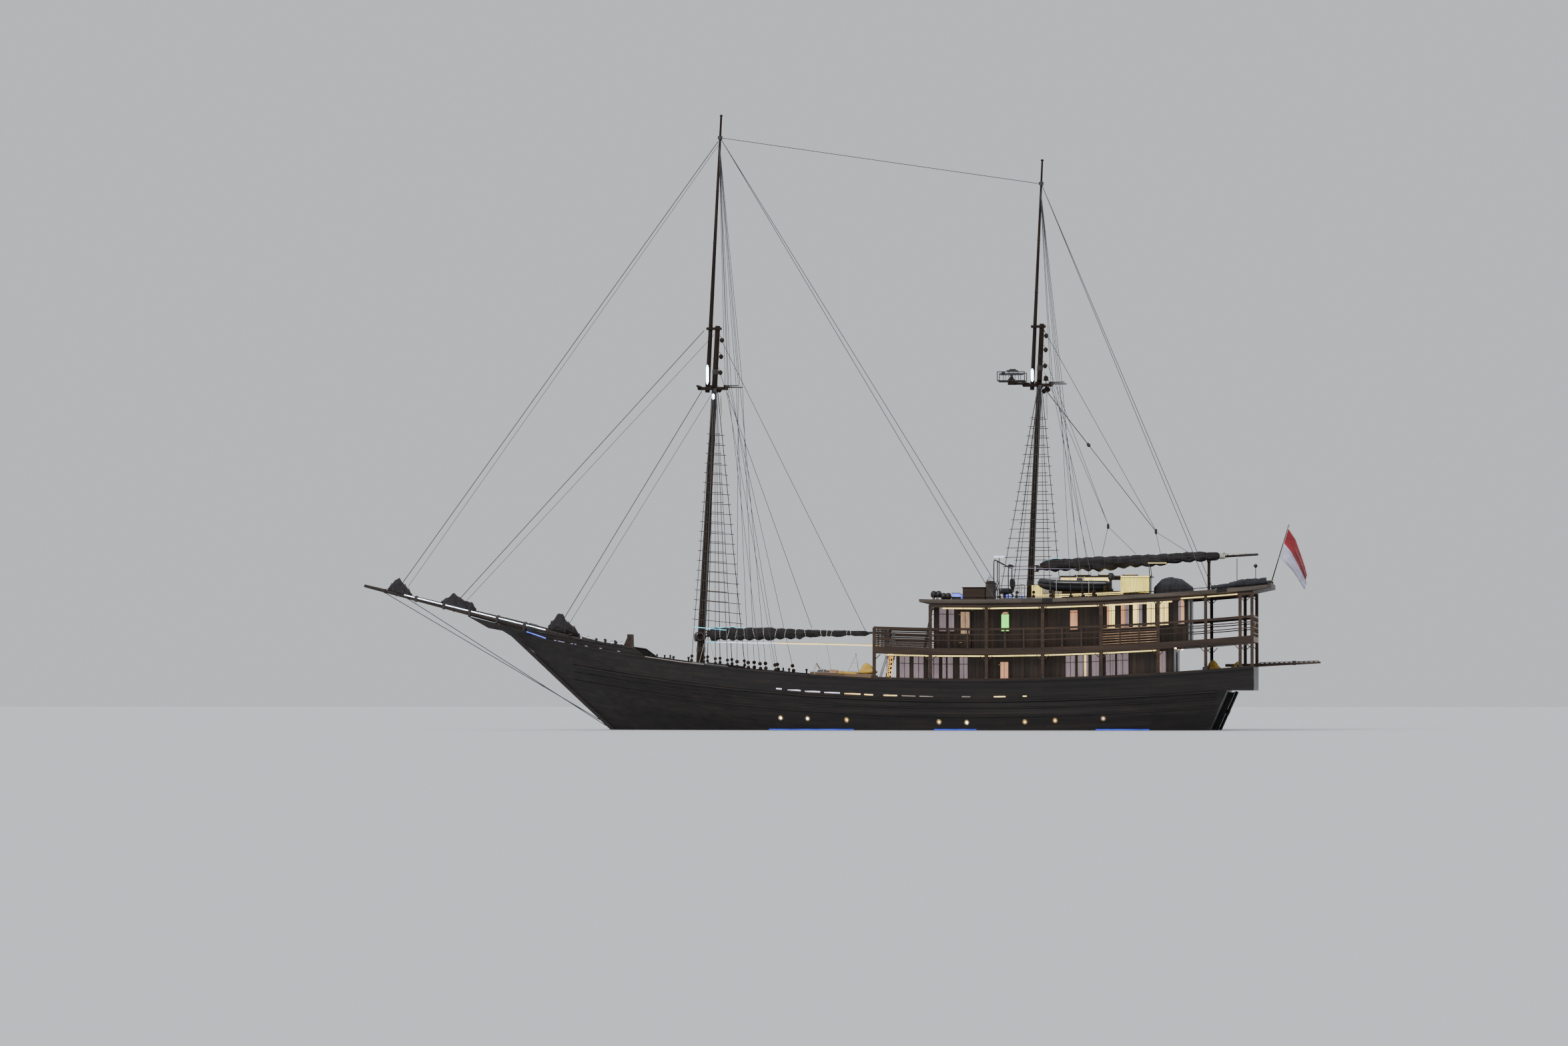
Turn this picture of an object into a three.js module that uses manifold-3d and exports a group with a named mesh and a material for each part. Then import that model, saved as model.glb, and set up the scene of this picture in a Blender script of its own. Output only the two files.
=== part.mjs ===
// A two-masted timber schooner of the phinisi type, afloat, as a 1:2 scale model in millimetres.
// The origin is on the waterline amidships; +X is the bow, +Y is port, +Z is up.
import * as THREE from 'three';
import { mergeVertices } from 'three/addons/utils/BufferGeometryUtils.js';
import Module from 'manifold-3d';

const wasm = await Module();
wasm.setup();

// Gaps between pieces that meet
const GAP = 0.4;
const SEAT = 0.5;

// The sheer: the height of the bulwark's top along the ship
const SHEER = { low: 1244, lowX: -1667, fore: 8.9e-6, aft: 6.6e-6 };

// Heights above the sheer
const LEVEL = { hullTop: -490, deck: -450, floorUnder: 610, floor: 740, roofUnder: 1840, roof: 1970 };

// Hull sizes
const STEM = { x: 7334, rake: 1.073, deep: -600, forefoot: 0.0011, half: 60, timber: 130 };
const STERN = { x: -7561, rake: 0.449, timber: 140 };
const KEEL = { top: -1150, bottom: -1400, half: 90 };
const DECK_HALF = { mid: 2110, stern: 1900 };
const BULWARK = { thick: 90, flare: 40, capOut: 30, cap: 45, capIn: 140 };
const STERN_END = -8660;
const COUNTER_UNDER = 982;

// Posts of the side galleries, from the fore end; the sheer runs straight between them
const POSTS = [640, -740, -2120, -3500, -4930, -6330, -7490, -8330, -8620];
const KNOTS = [10600, 9600, 8300, 6900, 5500, 4100, 2300, ...POSTS, -9200];
const POST = 40;
const GALLERY = { foreX: 640, foreY: 2105, aftX: -8360, aftY: 1915, deep: 80 };

// Houses: fore end, aft end and half width
const MAIN_HOUSE = { fore: 142, aft: -6700, half: 1600 };
const UPPER_HOUSE = { fore: -780, aft: -7050, half: 1500 };
const WALL = 50;

// Masts: a point on the axis, the lean aft per millimetre of height, and radii
const FOREMAST = { x: 5159, z: 2619, lean: -0.052, foot: 105, head: 62, top: 10110 };
const FORE_TOPMAST = { x: 5023, z: 8577, lean: -0.05, foot: 60, head: 27, base: 8440, top: 15367 };
const MAINMAST = { x: -3131, z: 5064, lean: -0.0454, foot: 92, head: 60, top: 10110 };
const MAIN_TOPMAST = { x: -3118, z: 8582, lean: -0.0456, foot: 54, head: 24, base: 8460, top: 14170 };
const FORE_TREE = 8560;
const MAIN_TREE = 8600;

// Bowsprit: its tip and the rise per millimetre of length
const BOWSPRIT = { tipX: 13729, tipZ: 3620, rise: 0.2516, heelX: 6960, shoulder: 10000, radius: 102,
  tipRadius: 38 };
const BITTS = { x: 6968, top: 2388, half: 45, out: BOWSPRIT.radius + SEAT + 45 };

const WIRE = 8;

// Sizes worked out from the ones above

function sheerCurve(x) {
  const bend = x > SHEER.lowX ? SHEER.fore : SHEER.aft;
  return SHEER.low + bend * (x - SHEER.lowX) ** 2;
}

function sheer(x) {
  for (let i = 1; i < KNOTS.length; i++) {
    const [ahead, behind] = [KNOTS[i - 1], KNOTS[i]];
    if (x >= behind || i === KNOTS.length - 1) {
      const t = (x - behind) / (ahead - behind);
      return sheerCurve(behind) + t * (sheerCurve(ahead) - sheerCurve(behind));
    }
  }
}

const stemX = (z) => STEM.x + STEM.rake * z - (z < STEM.deep ? STEM.forefoot * (z - STEM.deep) ** 2 : 0);
const sternX = (z) => STERN.x - STERN.rake * z;
const mastX = (mast, z) => mast.x + mast.lean * (z - mast.z);
const bowspritZ = (x) => BOWSPRIT.tipZ - BOWSPRIT.rise * (BOWSPRIT.tipX - x);
const galleryY = (x) => {
  const t = (x - GALLERY.foreX) / (GALLERY.aftX - GALLERY.foreX);
  return GALLERY.foreY + t * (GALLERY.aftY - GALLERY.foreY);
};

function deckHalf(u) {
  if (u > 0.5) {
    const ahead = Math.max(0, (u - 0.55) / 0.45);
    return STEM.half + (DECK_HALF.mid - STEM.half) * (1 - Math.min(ahead, 1) ** 2.4);
  }
  return DECK_HALF.mid - (DECK_HALF.mid - DECK_HALF.stern) * Math.min((0.5 - u) / 0.5, 1) ** 1.3;
}

function alongShip(x, z) {
  return (x - sternX(z)) / (stemX(z) - sternX(z));
}

const deckEdge = (x) => deckHalf(alongShip(x, sheer(x) + LEVEL.hullTop));

// Shapes

function outward(geometry) {
  const p = geometry.attributes.position;
  const index = geometry.index.array;
  const [a, b, c] = [new THREE.Vector3(), new THREE.Vector3(), new THREE.Vector3()];
  let volume = 0;
  for (let i = 0; i < index.length; i += 3) {
    a.fromBufferAttribute(p, index[i]);
    b.fromBufferAttribute(p, index[i + 1]);
    c.fromBufferAttribute(p, index[i + 2]);
    volume += a.dot(b.cross(c));
  }
  if (volume < 0) {
    for (let i = 0; i < index.length; i += 3) {
      [index[i], index[i + 1]] = [index[i + 1], index[i]];
    }
  }
  return geometry;
}

function fromPoints(points, triangles) {
  const geometry = new THREE.BufferGeometry();
  geometry.setAttribute('position', new THREE.Float32BufferAttribute(points.flat(), 3));
  geometry.setIndex(triangles.flat());
  return outward(geometry);
}

// Skin along the ship through rings of points, each ring with the same number of points.
// A cap's triangles, with their corners in the ring's own order, all turn the way the ring does.
function loft(rings) {
  const count = rings[0].length;
  const triangles = [];
  for (let r = 0; r + 1 < rings.length; r++) {
    for (let k = 0; k < count; k++) {
      const a = r * count + k;
      const b = r * count + ((k + 1) % count);
      triangles.push([a, b, a + count], [b, b + count, a + count]);
    }
  }
  const cap = (ring) => THREE.ShapeUtils.triangulateShape(ring.map(([, y, z]) => new THREE.Vector2(y, z)), [])
    .map((corners) => [...corners].sort((a, b) => a - b));
  const last = (rings.length - 1) * count;
  cap(rings[0]).forEach(([a, b, c]) => triangles.push([c, b, a]));
  cap(rings[rings.length - 1]).forEach(([a, b, c]) => triangles.push([last + a, last + b, last + c]));
  return fromPoints(rings.flat(), triangles);
}

function reshape(geometry, place) {
  const bare = geometry.clone();
  bare.deleteAttribute('normal');
  bare.deleteAttribute('uv');
  const merged = mergeVertices(bare, 1e-3);
  const p = merged.attributes.position;
  for (let i = 0; i < p.count; i++) {
    p.setXYZ(i, ...place(p.getX(i), p.getY(i), p.getZ(i)));
  }
  return outward(merged);
}

function box(x0, x1, y0, y1, z0, z1) {
  const geometry = new THREE.BoxGeometry(Math.abs(x1 - x0), Math.abs(y1 - y0), Math.abs(z1 - z0));
  return geometry.translate((x0 + x1) / 2, (y0 + y1) / 2, (z0 + z1) / 2);
}

function prism(outline, across0, across1) {
  const shape = new THREE.Shape(outline.map(([a, b]) => new THREE.Vector2(a, b)));
  const slab = new THREE.ExtrudeGeometry(shape, { depth: across1 - across0, bevelEnabled: false });
  return slab.translate(0, 0, across0);
}

// A plate cut from an outline with holes; place turns (along, up, across) into a point
function plate(outline, holes, across0, across1, place) {
  const tools = holes.map((hole) => prism(hole, across0 - 1, across1 + 1));
  return reshape(cut(prism(outline, across0, across1), ...tools), place);
}

const sideways = (x, z, y) => [x, y, z];
const athwart = (y, z, x) => [x, y, z];

function round(a, b, ra, rb, sides = 12) {
  const [from, to] = [new THREE.Vector3(...a), new THREE.Vector3(...b)];
  const way = to.clone().sub(from);
  const geometry = new THREE.CylinderGeometry(rb, ra, way.length(), sides);
  geometry.applyQuaternion(new THREE.Quaternion().setFromUnitVectors(
    new THREE.Vector3(0, 1, 0), way.clone().normalize()));
  return geometry.translate(...from.add(to).multiplyScalar(0.5).toArray());
}

const wire = (a, b) => round(a, b, WIRE, WIRE, 6);

function solid(geometry) {
  const bare = geometry.clone();
  bare.deleteAttribute('normal');
  bare.deleteAttribute('uv');
  const merged = mergeVertices(bare, 1e-3);
  return new wasm.Manifold(new wasm.Mesh({
    numProp: 3,
    vertProperties: new Float32Array(merged.attributes.position.array),
    triVerts: new Uint32Array(merged.index.array),
  }));
}

function shapeOf(body) {
  const mesh = body.getMesh();
  const geometry = new THREE.BufferGeometry();
  geometry.setAttribute('position', new THREE.BufferAttribute(mesh.vertProperties, 3));
  geometry.setIndex(new THREE.BufferAttribute(mesh.triVerts, 1));
  return geometry;
}

const joined = (geometries) => geometries.map(solid).reduce((a, b) => a.add(b));
const fuse = (...geometries) => shapeOf(joined(geometries));
const cut = (geometry, ...tools) => shapeOf(tools.reduce((body, tool) => body.subtract(solid(tool)),
    solid(geometry)));
const mirrored = (geometry) => reshape(geometry, (x, y, z) => [x, -y, z]);

const knotsBetween = (x0, x1) => KNOTS.filter((x) => x < Math.max(x0, x1) - 1 && x > Math.min(x0, x1) + 1);
const stationsFrom = (fore, aft) => [fore, ...knotsBetween(fore, aft), aft];

// A floor or roof of rectangular section that follows the sheer
function floorPlate(fore, aft, half, under, top) {
  return loft(stationsFrom(fore, aft).map((x) => [
    [x, -half(x), sheer(x) + under], [x, half(x), sheer(x) + under],
    [x, half(x), sheer(x) + top], [x, -half(x), sheer(x) + top],
  ]));
}

// The outline of a wall between two levels above the sheer
function wallOutline(fore, aft, under, top) {
  const xs = stationsFrom(fore, aft);
  return [...xs.map((x) => [x, sheer(x) + under]), ...xs.reverse().map((x) => [x, sheer(x) + top])];
}

const opening = (fore, aft, under, top) => [
  [fore, sheer(fore) + under], [aft, sheer(aft) + under], [aft, sheer(aft) + top], [fore, sheer(fore) + top],
];

// Materials: colour, roughness, metalness
const PAINT = {
  hull: [0x1d1614, 0.5, 0], timber: [0x3a2418, 0.6, 0], deck: [0x6b4a30, 0.7, 0], spar: [0x2a1c14, 0.5, 0],
  canvas: [0x25211f, 0.9, 0], steel: [0x4a4c50, 0.4, 0.8], bronze: [0x8a6a38, 0.4, 0.9],
  bag: [0xc9a13a, 0.9, 0], awning: [0xb8b4a8, 0.9, 0], grey: [0x53575c, 0.6, 0], ensign: [0x8a1f24, 0.9, 0],
};

const ship = new THREE.Group();

function add(name, geometry, paint) {
  const [color, roughness, metalness] = PAINT[paint];
  const mesh = new THREE.Mesh(geometry, new THREE.MeshStandardMaterial({ color, roughness, metalness }));
  mesh.name = name;
  ship.add(mesh);
}

function addBothSides(name, geometry, paint) {
  add(`${name}_port`, geometry, paint);
  add(`${name}_starboard`, mirrored(geometry), paint);
}

// Hull levels: height, half breadth amidships and at the stern, fullness of the bow and the stern
const HULL_LEVELS = [
  { z: KEEL.top, mid: 110, stern: 90, bow: 1.3, run: 1.3 },
  { z: -950, mid: 700, stern: 100, bow: 1.3, run: 1.3 },
  { z: -600, mid: 1450, stern: 350, bow: 1.4, run: 1.6 },
  { z: -250, mid: 1850, stern: 1100, bow: 1.6, run: 2.0 },
  { z: 0, mid: 1990, stern: 1480, bow: 1.8, run: 2.2 },
  { z: 400, mid: 2080, stern: 1700, bow: 2.1, run: 2.2 },
];

function levelHalf({ mid, stern, bow, run }, u) {
  if (u > 0.55) return STEM.half + (mid - STEM.half) * (1 - ((u - 0.55) / 0.45) ** bow);
  if (u < 0.4) return mid - (mid - stern) * ((0.4 - u) / 0.4) ** run;
  return mid;
}

// The fore end of the deck at the stem, found by stepping towards it
function deckStem() {
  let x = 9500;
  for (let i = 0; i < 30; i++) x = stemX(sheer(x) + LEVEL.hullTop);
  return x;
}

function deckStern() {
  let x = -8000;
  for (let i = 0; i < 30; i++) x = sternX(sheer(x) + LEVEL.hullTop);
  return x;
}

const DECK_STEM = deckStem();
const DECK_STERN = deckStern();

function hullGeometry() {
  const rings = stationsFrom(DECK_STEM, DECK_STERN).map((x) => {
    const top = sheer(x) + LEVEL.hullTop;
    const u = alongShip(x, top);
    const side = HULL_LEVELS.map((level) => [
      sternX(level.z) + u * (stemX(level.z) - sternX(level.z)), levelHalf(level, u), level.z]);
    side.push([x, deckHalf(u), top]);
    return [...side, ...side.map(([px, py, pz]) => [px, -py, pz]).reverse()];
  });
  return loft(rings);
}

function backboneGeometry() {
  const knee = [[9980, 2345], [10200, 2479], [10555, 2546]];
  const fall = bowspritRise(BOWSPRIT.heelX) + SEAT;
  const under = (x) => [x, bowspritZ(x) - fall];
  const meet = (STEM.x + GAP + STEM.rake * (bowspritZ(0) - fall)) / (1 - STEM.rake * BOWSPRIT.rise);
  const stemOut = [-600, -250, 0, 400].map((z) => [stemX(z) + STEM.timber, z]);
  const stemIn = [400, 0, -250, -600, -950, KEEL.top].map((z) => [stemX(z) + GAP, z]);
  const outline = [
    [sternX(KEEL.bottom) - STERN.timber, KEEL.bottom], [4600, KEEL.bottom], [5650, -1320], [6350, -1000],
    ...stemOut, ...knee, under(11100), under(meet), ...stemIn,
    [stemX(KEEL.top), KEEL.top - GAP], [sternX(KEEL.top) - GAP, KEEL.top - GAP],
    [sternX(940) - GAP, 940], [sternX(940) - STERN.timber, 940],
  ];
  const body = plate(outline, [], -75, 75, sideways);
  const gudgeons = RUDDER.hinges.map((z) => round(rudderAxis(z - 45), rudderAxis(z + 45), 48, 48));
  const arms = RUDDER.hinges.map((z) => box(rudderAxis(z)[0], rudderAxis(z)[0] + 90, -24, 24, z - 20,
      z + 34));
  const pins = RUDDER.hinges.map((z) => round(rudderAxis(z - 90), rudderAxis(z + 90), RUDDER.pinHole,
      RUDDER.pinHole));
  return cut(fuse(body, ...gudgeons, ...arms), ...pins);
}

// Rudder: the hinge axis lies behind the sternpost and leans with it
const RUDDER = { back: 205, hinges: [-1050, -300, 450], chord: 620, bottom: -1330, top: -60, head: 955,
  pin: 18, pinHole: 19.2 };

function rudderAxis(z) {
  return [sternX(z) - RUDDER.back, 0, z];
}

function rudderGeometry() {
  const at = (z, back) => [rudderAxis(z)[0] - back, z];
  const blade = plate([
    at(RUDDER.bottom, 0), at(RUDDER.top, 0), at(RUDDER.top, 330), at(-300, RUDDER.chord),
    at(RUDDER.bottom, RUDDER.chord - 60),
  ], [], -32, 32, sideways);
  const stock = round(rudderAxis(RUDDER.bottom), rudderAxis(RUDDER.head), 40, 40);
  const notches = RUDDER.hinges.map((z) => round(rudderAxis(z - 45 - GAP), rudderAxis(z + 45 + GAP), 62, 62));
  const body = notches.reduce((rest, notch) => rest.subtract(solid(notch)), joined([blade, stock]));
  const pins = RUDDER.hinges.map((z) => round(rudderAxis(z - 60), rudderAxis(z + 60), RUDDER.pin,
      RUDDER.pin));
  return shapeOf(pins.reduce((rest, pin) => rest.add(solid(pin)), body));
}

// Side bulwark with a rail cap and lit freeing ports at deck level
const FREEING_PORTS = [
  [3090, 2930], [2800, 2455], [2370, 1970], [1890, 1480], [1390, 970], [900, 660], [425, 65],
  [-20, -390], [-460, -820], [-1500, -1740], [-2290, -2600], [-3000, -3120],
];
const FREEING = { under: 5, top: 55 };

function bulwarkGeometry() {
  const stations = [...stationsFrom(DECK_STEM, STERN_END)];
  const rings = stations.map((x) => {
    const rise = -LEVEL.hullTop;
    const lean = STEM.rake * Math.min(1, Math.max(0, (x - 6900) / (DECK_STEM - 6900)));
    const low = deckEdge(x);
    const high = low + BULWARK.flare * Math.min(1, low / 400);
    const point = (y, up) => [x + lean * up, Math.max(y, SEAT), sheer(x) + LEVEL.hullTop
      + up * (rise + sheer(x + lean * rise) - sheer(x)) / rise];
    const inLow = low - BULWARK.thick;
    const inHigh = high - BULWARK.thick;
    return [
      point(inLow, GAP), point(low, GAP), point(high, rise - BULWARK.cap),
      point(high + BULWARK.capOut, rise - BULWARK.cap), point(high + BULWARK.capOut, rise),
      point(high - BULWARK.capIn, rise), point(high - BULWARK.capIn, rise - BULWARK.cap),
      point(inHigh, rise - BULWARK.cap),
    ];
  });
  const under = LEVEL.deck + FREEING.under;
  const top = LEVEL.deck + FREEING.top;
  const slots = FREEING_PORTS.map(([fore, aft]) => box(
    aft, fore, 1500, 2400, sheer(aft) + under, sheer(aft) + top));
  return cut(loft(rings), ...slots);
}

// The fore trunk and the after locker are built on the deck, this high over the sheer
const TRUNK_TOP = 60;
const LOCKER_TOP = -30;

function mainDeckGeometry() {
  const inside = (x) => deckEdge(x) - BULWARK.thick - SEAT;
  const planks = floorPlate(8900, -8565, inside, LEVEL.hullTop + GAP, LEVEL.deck);
  const trunk = floorPlate(2350, 830, () => 900, LEVEL.deck - 20, TRUNK_TOP);
  const locker = floorPlate(-7250, -8480, () => 900, LEVEL.deck - 20, LOCKER_TOP);
  return fuse(planks, trunk, locker);
}

function sternCounterGeometry() {
  const outer = (x) => deckEdge(x) - SEAT;
  const xs = [DECK_STERN - 12, -8330, -8620, STERN_END];
  const block = loft(xs.map((x) => [
    [x, -outer(x), COUNTER_UNDER], [x, outer(x), COUNTER_UNDER],
    [x, outer(x), sheer(x) + LEVEL.hullTop - GAP], [x, -outer(x), sheer(x) + LEVEL.hullTop - GAP],
  ]));
  const inside = deckEdge(STERN_END) - BULWARK.capIn - 4;
  const board = box(STERN_END, -8566, -inside, inside, sheer(STERN_END) + LEVEL.hullTop - 20,
      sheer(STERN_END) - 50);
  const cap = box(STERN_END, -8540, -inside, inside, sheer(STERN_END) - 50, sheer(STERN_END));
  return fuse(block, board, cap);
}

// Shafts and screws on both quarters
const SCREW = { x: -6290, y: 640, z: -1060, rise: 0.087, hub: 45, radius: 250 };
const shaftZ = (x) => SCREW.z + SCREW.rise * (x - SCREW.x);

function shaftGeometry(hull) {
  const y = SCREW.y;
  const shaft = round([SCREW.x, y, SCREW.z], [-3500, y, shaftZ(-3500)], 26, 26);
  const barrel = round([SCREW.x, y, SCREW.z], [SCREW.x + 150, y, shaftZ(SCREW.x + 150)], 44, 44);
  const strut = box(SCREW.x + 20, SCREW.x + 130, y - 12, y + 12, SCREW.z, -350);
  const body = joined([shaft, barrel, strut]).subtract(solid(hull)).translate([0, 0, -SEAT]);
  return shapeOf(body);
}

function screwGeometry() {
  const y = SCREW.y;
  const [x0, x1] = [SCREW.x - SEAT, SCREW.x - 120];
  const hub = round([x0, y, shaftZ(x0) - SEAT], [x1, y, shaftZ(x1) - SEAT], SCREW.hub, 30);
  const blades = [0, 1, 2, 3].map((k) => {
    const blade = new THREE.SphereGeometry(1, 8, 4);
    blade.scale(12, 62, 118).rotateZ(0.55).translate(0, 0, 132);
    blade.rotateX(k * Math.PI / 2).translate(SCREW.x - 55, y, shaftZ(SCREW.x - 55) - SEAT);
    return blade;
  });
  return fuse(hub, ...blades);
}

// Masts

function spar(mast, base, top, foot, head, grow = 0, sides = 16) {
  return round([mastX(mast, base), 0, base], [mastX(mast, top), 0, top], foot + grow, head + grow, sides);
}

const topmastSpar = (mast, grow = 0) => spar(mast, mast.base, mast.top, mast.foot, mast.head, grow);

// A lower mast stands square to its own lean on the sloping deck, on the edge of its foot that touches first
function mastFoot(mast) {
  const x = mastX(mast, sheer(mast.x) + LEVEL.deck);
  const edges = [mast.foot, -mast.foot].map((r) => sheer(x + r) + LEVEL.deck + mast.lean * r);
  return Math.max(...edges) + SEAT;
}

function lowerSpar(mast, grow = 0) {
  return spar(mast, mastFoot(mast) - (grow ? 50 : 0), mast.top, mast.foot, mast.head, grow);
}

// The gooseneck of a boom: its pin lies behind the mast and leans with it
function gooseneck(mast, z, up) {
  const out = mast.foot + 62;
  return [mastX(mast, z + up) - out, 0, z + up];
}

const FORE_GOOSENECK = 2405;
const MAIN_GOOSENECK = 4015;
const PIN = { eye: 52, lug: 32, radius: 42 };

function lowerMastGeometry(mast, topmast, neckZ) {
  const capZ = mast.top - 70;
  const fore = mastX(topmast, capZ) + topmast.foot + 40;
  const aft = mastX(mast, capZ) - mast.head - 35;
  const cap = box(aft, fore, -88, 88, capZ - 30, capZ + 30);
  const heights = [[PIN.eye + GAP, PIN.eye + PIN.lug], [-PIN.eye - PIN.lug, -PIN.eye - GAP]];
  const lugs = heights.flatMap(([a, b]) => [
    round(gooseneck(mast, neckZ, a), gooseneck(mast, neckZ, b), PIN.radius, PIN.radius),
    box(gooseneck(mast, neckZ, 0)[0], mastX(mast, neckZ), -30, 30, neckZ + a + 5 * (a > 0),
        neckZ + b - 5 * (b < 0)),
  ]);
  const body = joined([lowerSpar(mast), cap, ...lugs]);
  return shapeOf(body.subtract(solid(topmastSpar(topmast, GAP))));
}

// Trestle platform at the hounds with the arms that spread the topmast backstays
function crosstreesGeometry(mast, topmast, z, extra = []) {
  const fore = mastX(topmast, z) + 240;
  const aft = mastX(mast, z) - 330;
  const trees = [-150, 90].map((y) => box(aft, fore, y, y + 60, z - 55, z + 15));
  const crosses = [fore - 60, (fore + aft) / 2 - 20, aft].map((x) =>
      box(x, x + 60, -380, 380, z + 5, z + 50));
  const partner = box(mastX(mast, z) - 130, mastX(topmast, z) + 130, -150, 150, z - 40, z + 10);
  const arms = [1, -1].map((side) => round([aft + 40, side * 350, z + 28], [aft - 330, side * 450, z + 28],
      16, 12, 8));
  const body = joined([...trees, ...crosses, partner, ...arms, ...extra]);
  return shapeOf(body.subtract(solid(lowerSpar(mast, GAP))).subtract(solid(topmastSpar(topmast, GAP))));
}

const RADAR = { x: -2600, z: 8830, length: 310 };

function radarArm() {
  return [
    box(-3050, RADAR.x - 80, -40, 40, MAIN_TREE - 10, MAIN_TREE + 45),
    box(RADAR.x - 90, RADAR.x + 90, -75, 75, MAIN_TREE - 10, MAIN_TREE + 130),
    round([RADAR.x, 0, MAIN_TREE + 120], [RADAR.x, 0, RADAR.z - 45], 60, 50),
  ];
}

function scannerGeometry() {
  return fuse(
    box(RADAR.x - RADAR.length, RADAR.x + RADAR.length, -35, 35, RADAR.z, RADAR.z + 60),
    round([RADAR.x, 0, RADAR.z - 45 + GAP], [RADAR.x, 0, RADAR.z + 20], 32, 32),
  );
}

// Shrouds: a fan of wires from the hounds to a batten on the rail or the roof edge
function shroudGeometry({ feet, footY, footZ, head, strand = 9 }) {
  const [fore, aft] = [feet[0], feet[feet.length - 1]];
  const height = Math.hypot(head.y - footY(head.x), head.z - footZ(head.x));
  const top = height - 90;
  const headX = (k) => head.x + (1.5 - k) * 24;
  const gaps = feet.slice(1).map((foot, k) => [
    [feet[k] - strand, 30], [foot + strand, 30], [headX(k + 1) + 4, top], [headX(k) - 4, top]]);
  const outline = [[fore + strand, 0], [fore + strand, 30], [headX(0) + 8, height], [headX(3) - 8, height],
    [aft - strand, 30], [aft - strand, 0]];
  return plate(outline, gaps, -6, 6, (x, s, t) => {
    const k = s / height;
    return [x, footY(x) * (1 - k) + head.y * k + t, footZ(x) * (1 - k) + head.z * k];
  });
}

const FORE_FEET = [5226, 4911, 4612, 4297];
const MAIN_FEET = [-2440, -2860, -3280, -3700];

const foreFan = {
  feet: FORE_FEET,
  footY: (x) => deckEdge(FORE_FEET[0]) + (x - FORE_FEET[0]) / (FORE_FEET[3] - FORE_FEET[0])
    * (deckEdge(FORE_FEET[3]) - deckEdge(FORE_FEET[0])),
  footZ: (x) => sheer(x) + SEAT,
  head: { x: mastX(FOREMAST, FORE_TREE) - 20, y: 156.5, z: FORE_TREE - 25 },
};
const mainFan = {
  feet: MAIN_FEET,
  footY: (x) => galleryY(x) + 20,
  footZ: (x) => sheer(x) + LEVEL.roof + SEAT,
  head: { x: mastX(MAINMAST, MAIN_TREE) - 20, y: 156.5, z: MAIN_TREE - 25 },
};

// Stays from the mastheads
const FORE_HEAD = 14833;
const MAIN_HEAD = 13607;

function headBand(mast, z) {
  const radius = 60;
  const band = spar(mast, z - 40, z + 40, radius, radius);
  return [band];
}

function foreHeadStaysGeometry() {
  const start = [mastX(FORE_TOPMAST, FORE_HEAD), 0, FORE_HEAD];
  const roofFoot = (side) => [-2330, side * (galleryY(-2330) + 10), sheer(-2330) + LEVEL.roof + 10];
  const end = [mastX(MAIN_TOPMAST, MAIN_HEAD) + 62, 0, MAIN_HEAD];
  const body = joined([...headBand(FORE_TOPMAST, FORE_HEAD),
    wire(start, roofFoot(1)), wire(start, roofFoot(-1)), wire(start, end)]);
  return shapeOf(body.subtract(solid(topmastSpar(FORE_TOPMAST, GAP))));
}

function mainHeadStaysGeometry() {
  const start = [mastX(MAIN_TOPMAST, MAIN_HEAD), 0, MAIN_HEAD];
  const foot = (side) => [-7553, side * (galleryY(-7553) + 10), sheer(-7553) + LEVEL.roof + 10];
  const body = joined([...headBand(MAIN_TOPMAST, MAIN_HEAD), wire(start, foot(1)), wire(start, foot(-1))]);
  return shapeOf(body.subtract(solid(topmastSpar(MAIN_TOPMAST, GAP))));
}

// Jibs: each stay with its sail furled low on the bowsprit
// name, stay head x and z, foot of the stay along the bowsprit, bundle fore and aft ends, bundle height
const JIBS = [
  { name: 'outer', head: [mastX(FORE_TOPMAST, 14740) + 37, 14740], foot: 12900, fore: 13130, aft: 12530,
      high: 330 },
  { name: 'middle', head: [5110, 10000], foot: 11430, fore: 11740, aft: 10880, high: 270 },
  { name: 'inner', head: [5170, 8480], foot: 8820, fore: 9010, aft: 8330, high: 420 },
];

// The bowsprit is an even spar as far as its shoulder, then tapers to the tip.
// The highest corner of its many-sided section lies just inside its radius.
const SPAR_FACET = 0.99;

function bowspritRise(x) {
  const along = Math.max(0, (x - BOWSPRIT.shoulder) / (BOWSPRIT.tipX - BOWSPRIT.shoulder));
  const radius = BOWSPRIT.radius + (BOWSPRIT.tipRadius - BOWSPRIT.radius) * along;
  return radius * SPAR_FACET / Math.cos(Math.atan(BOWSPRIT.rise));
}

function bowspritGeometry() {
  const at = (x) => [x, 0, bowspritZ(x)];
  return fuse(
    round(at(BOWSPRIT.shoulder), at(BOWSPRIT.tipX), BOWSPRIT.radius, BOWSPRIT.tipRadius, 16),
    round(at(BOWSPRIT.heelX), at(BOWSPRIT.shoulder + 1), BOWSPRIT.radius, BOWSPRIT.radius, 16),
  );
}

function jibGeometry({ head, foot, fore, aft, high }) {
  const top = (x) => bowspritZ(x) + bowspritRise(x) + SEAT;
  const peak = foot - 60;
  const bundle = loft([
    [fore, 40, 25], [peak, 80, high], [peak - 150, 95, high * 0.72], [aft + 120, 90, high * 0.5],
      [aft, 50, 60],
  ].map(([x, half, up]) => [
    [x, -half * 0.6, top(x)], [x, half * 0.6, top(x)], [x, half, top(x) + up * 0.4],
    [x, half * 0.35, top(x) + up], [x, -half * 0.35, top(x) + up], [x, -half, top(x) + up * 0.4],
  ]));
  return fuse(bundle, wire([foot, 0, top(foot) + 20], [head[0], 0, head[1]]));
}

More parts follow.
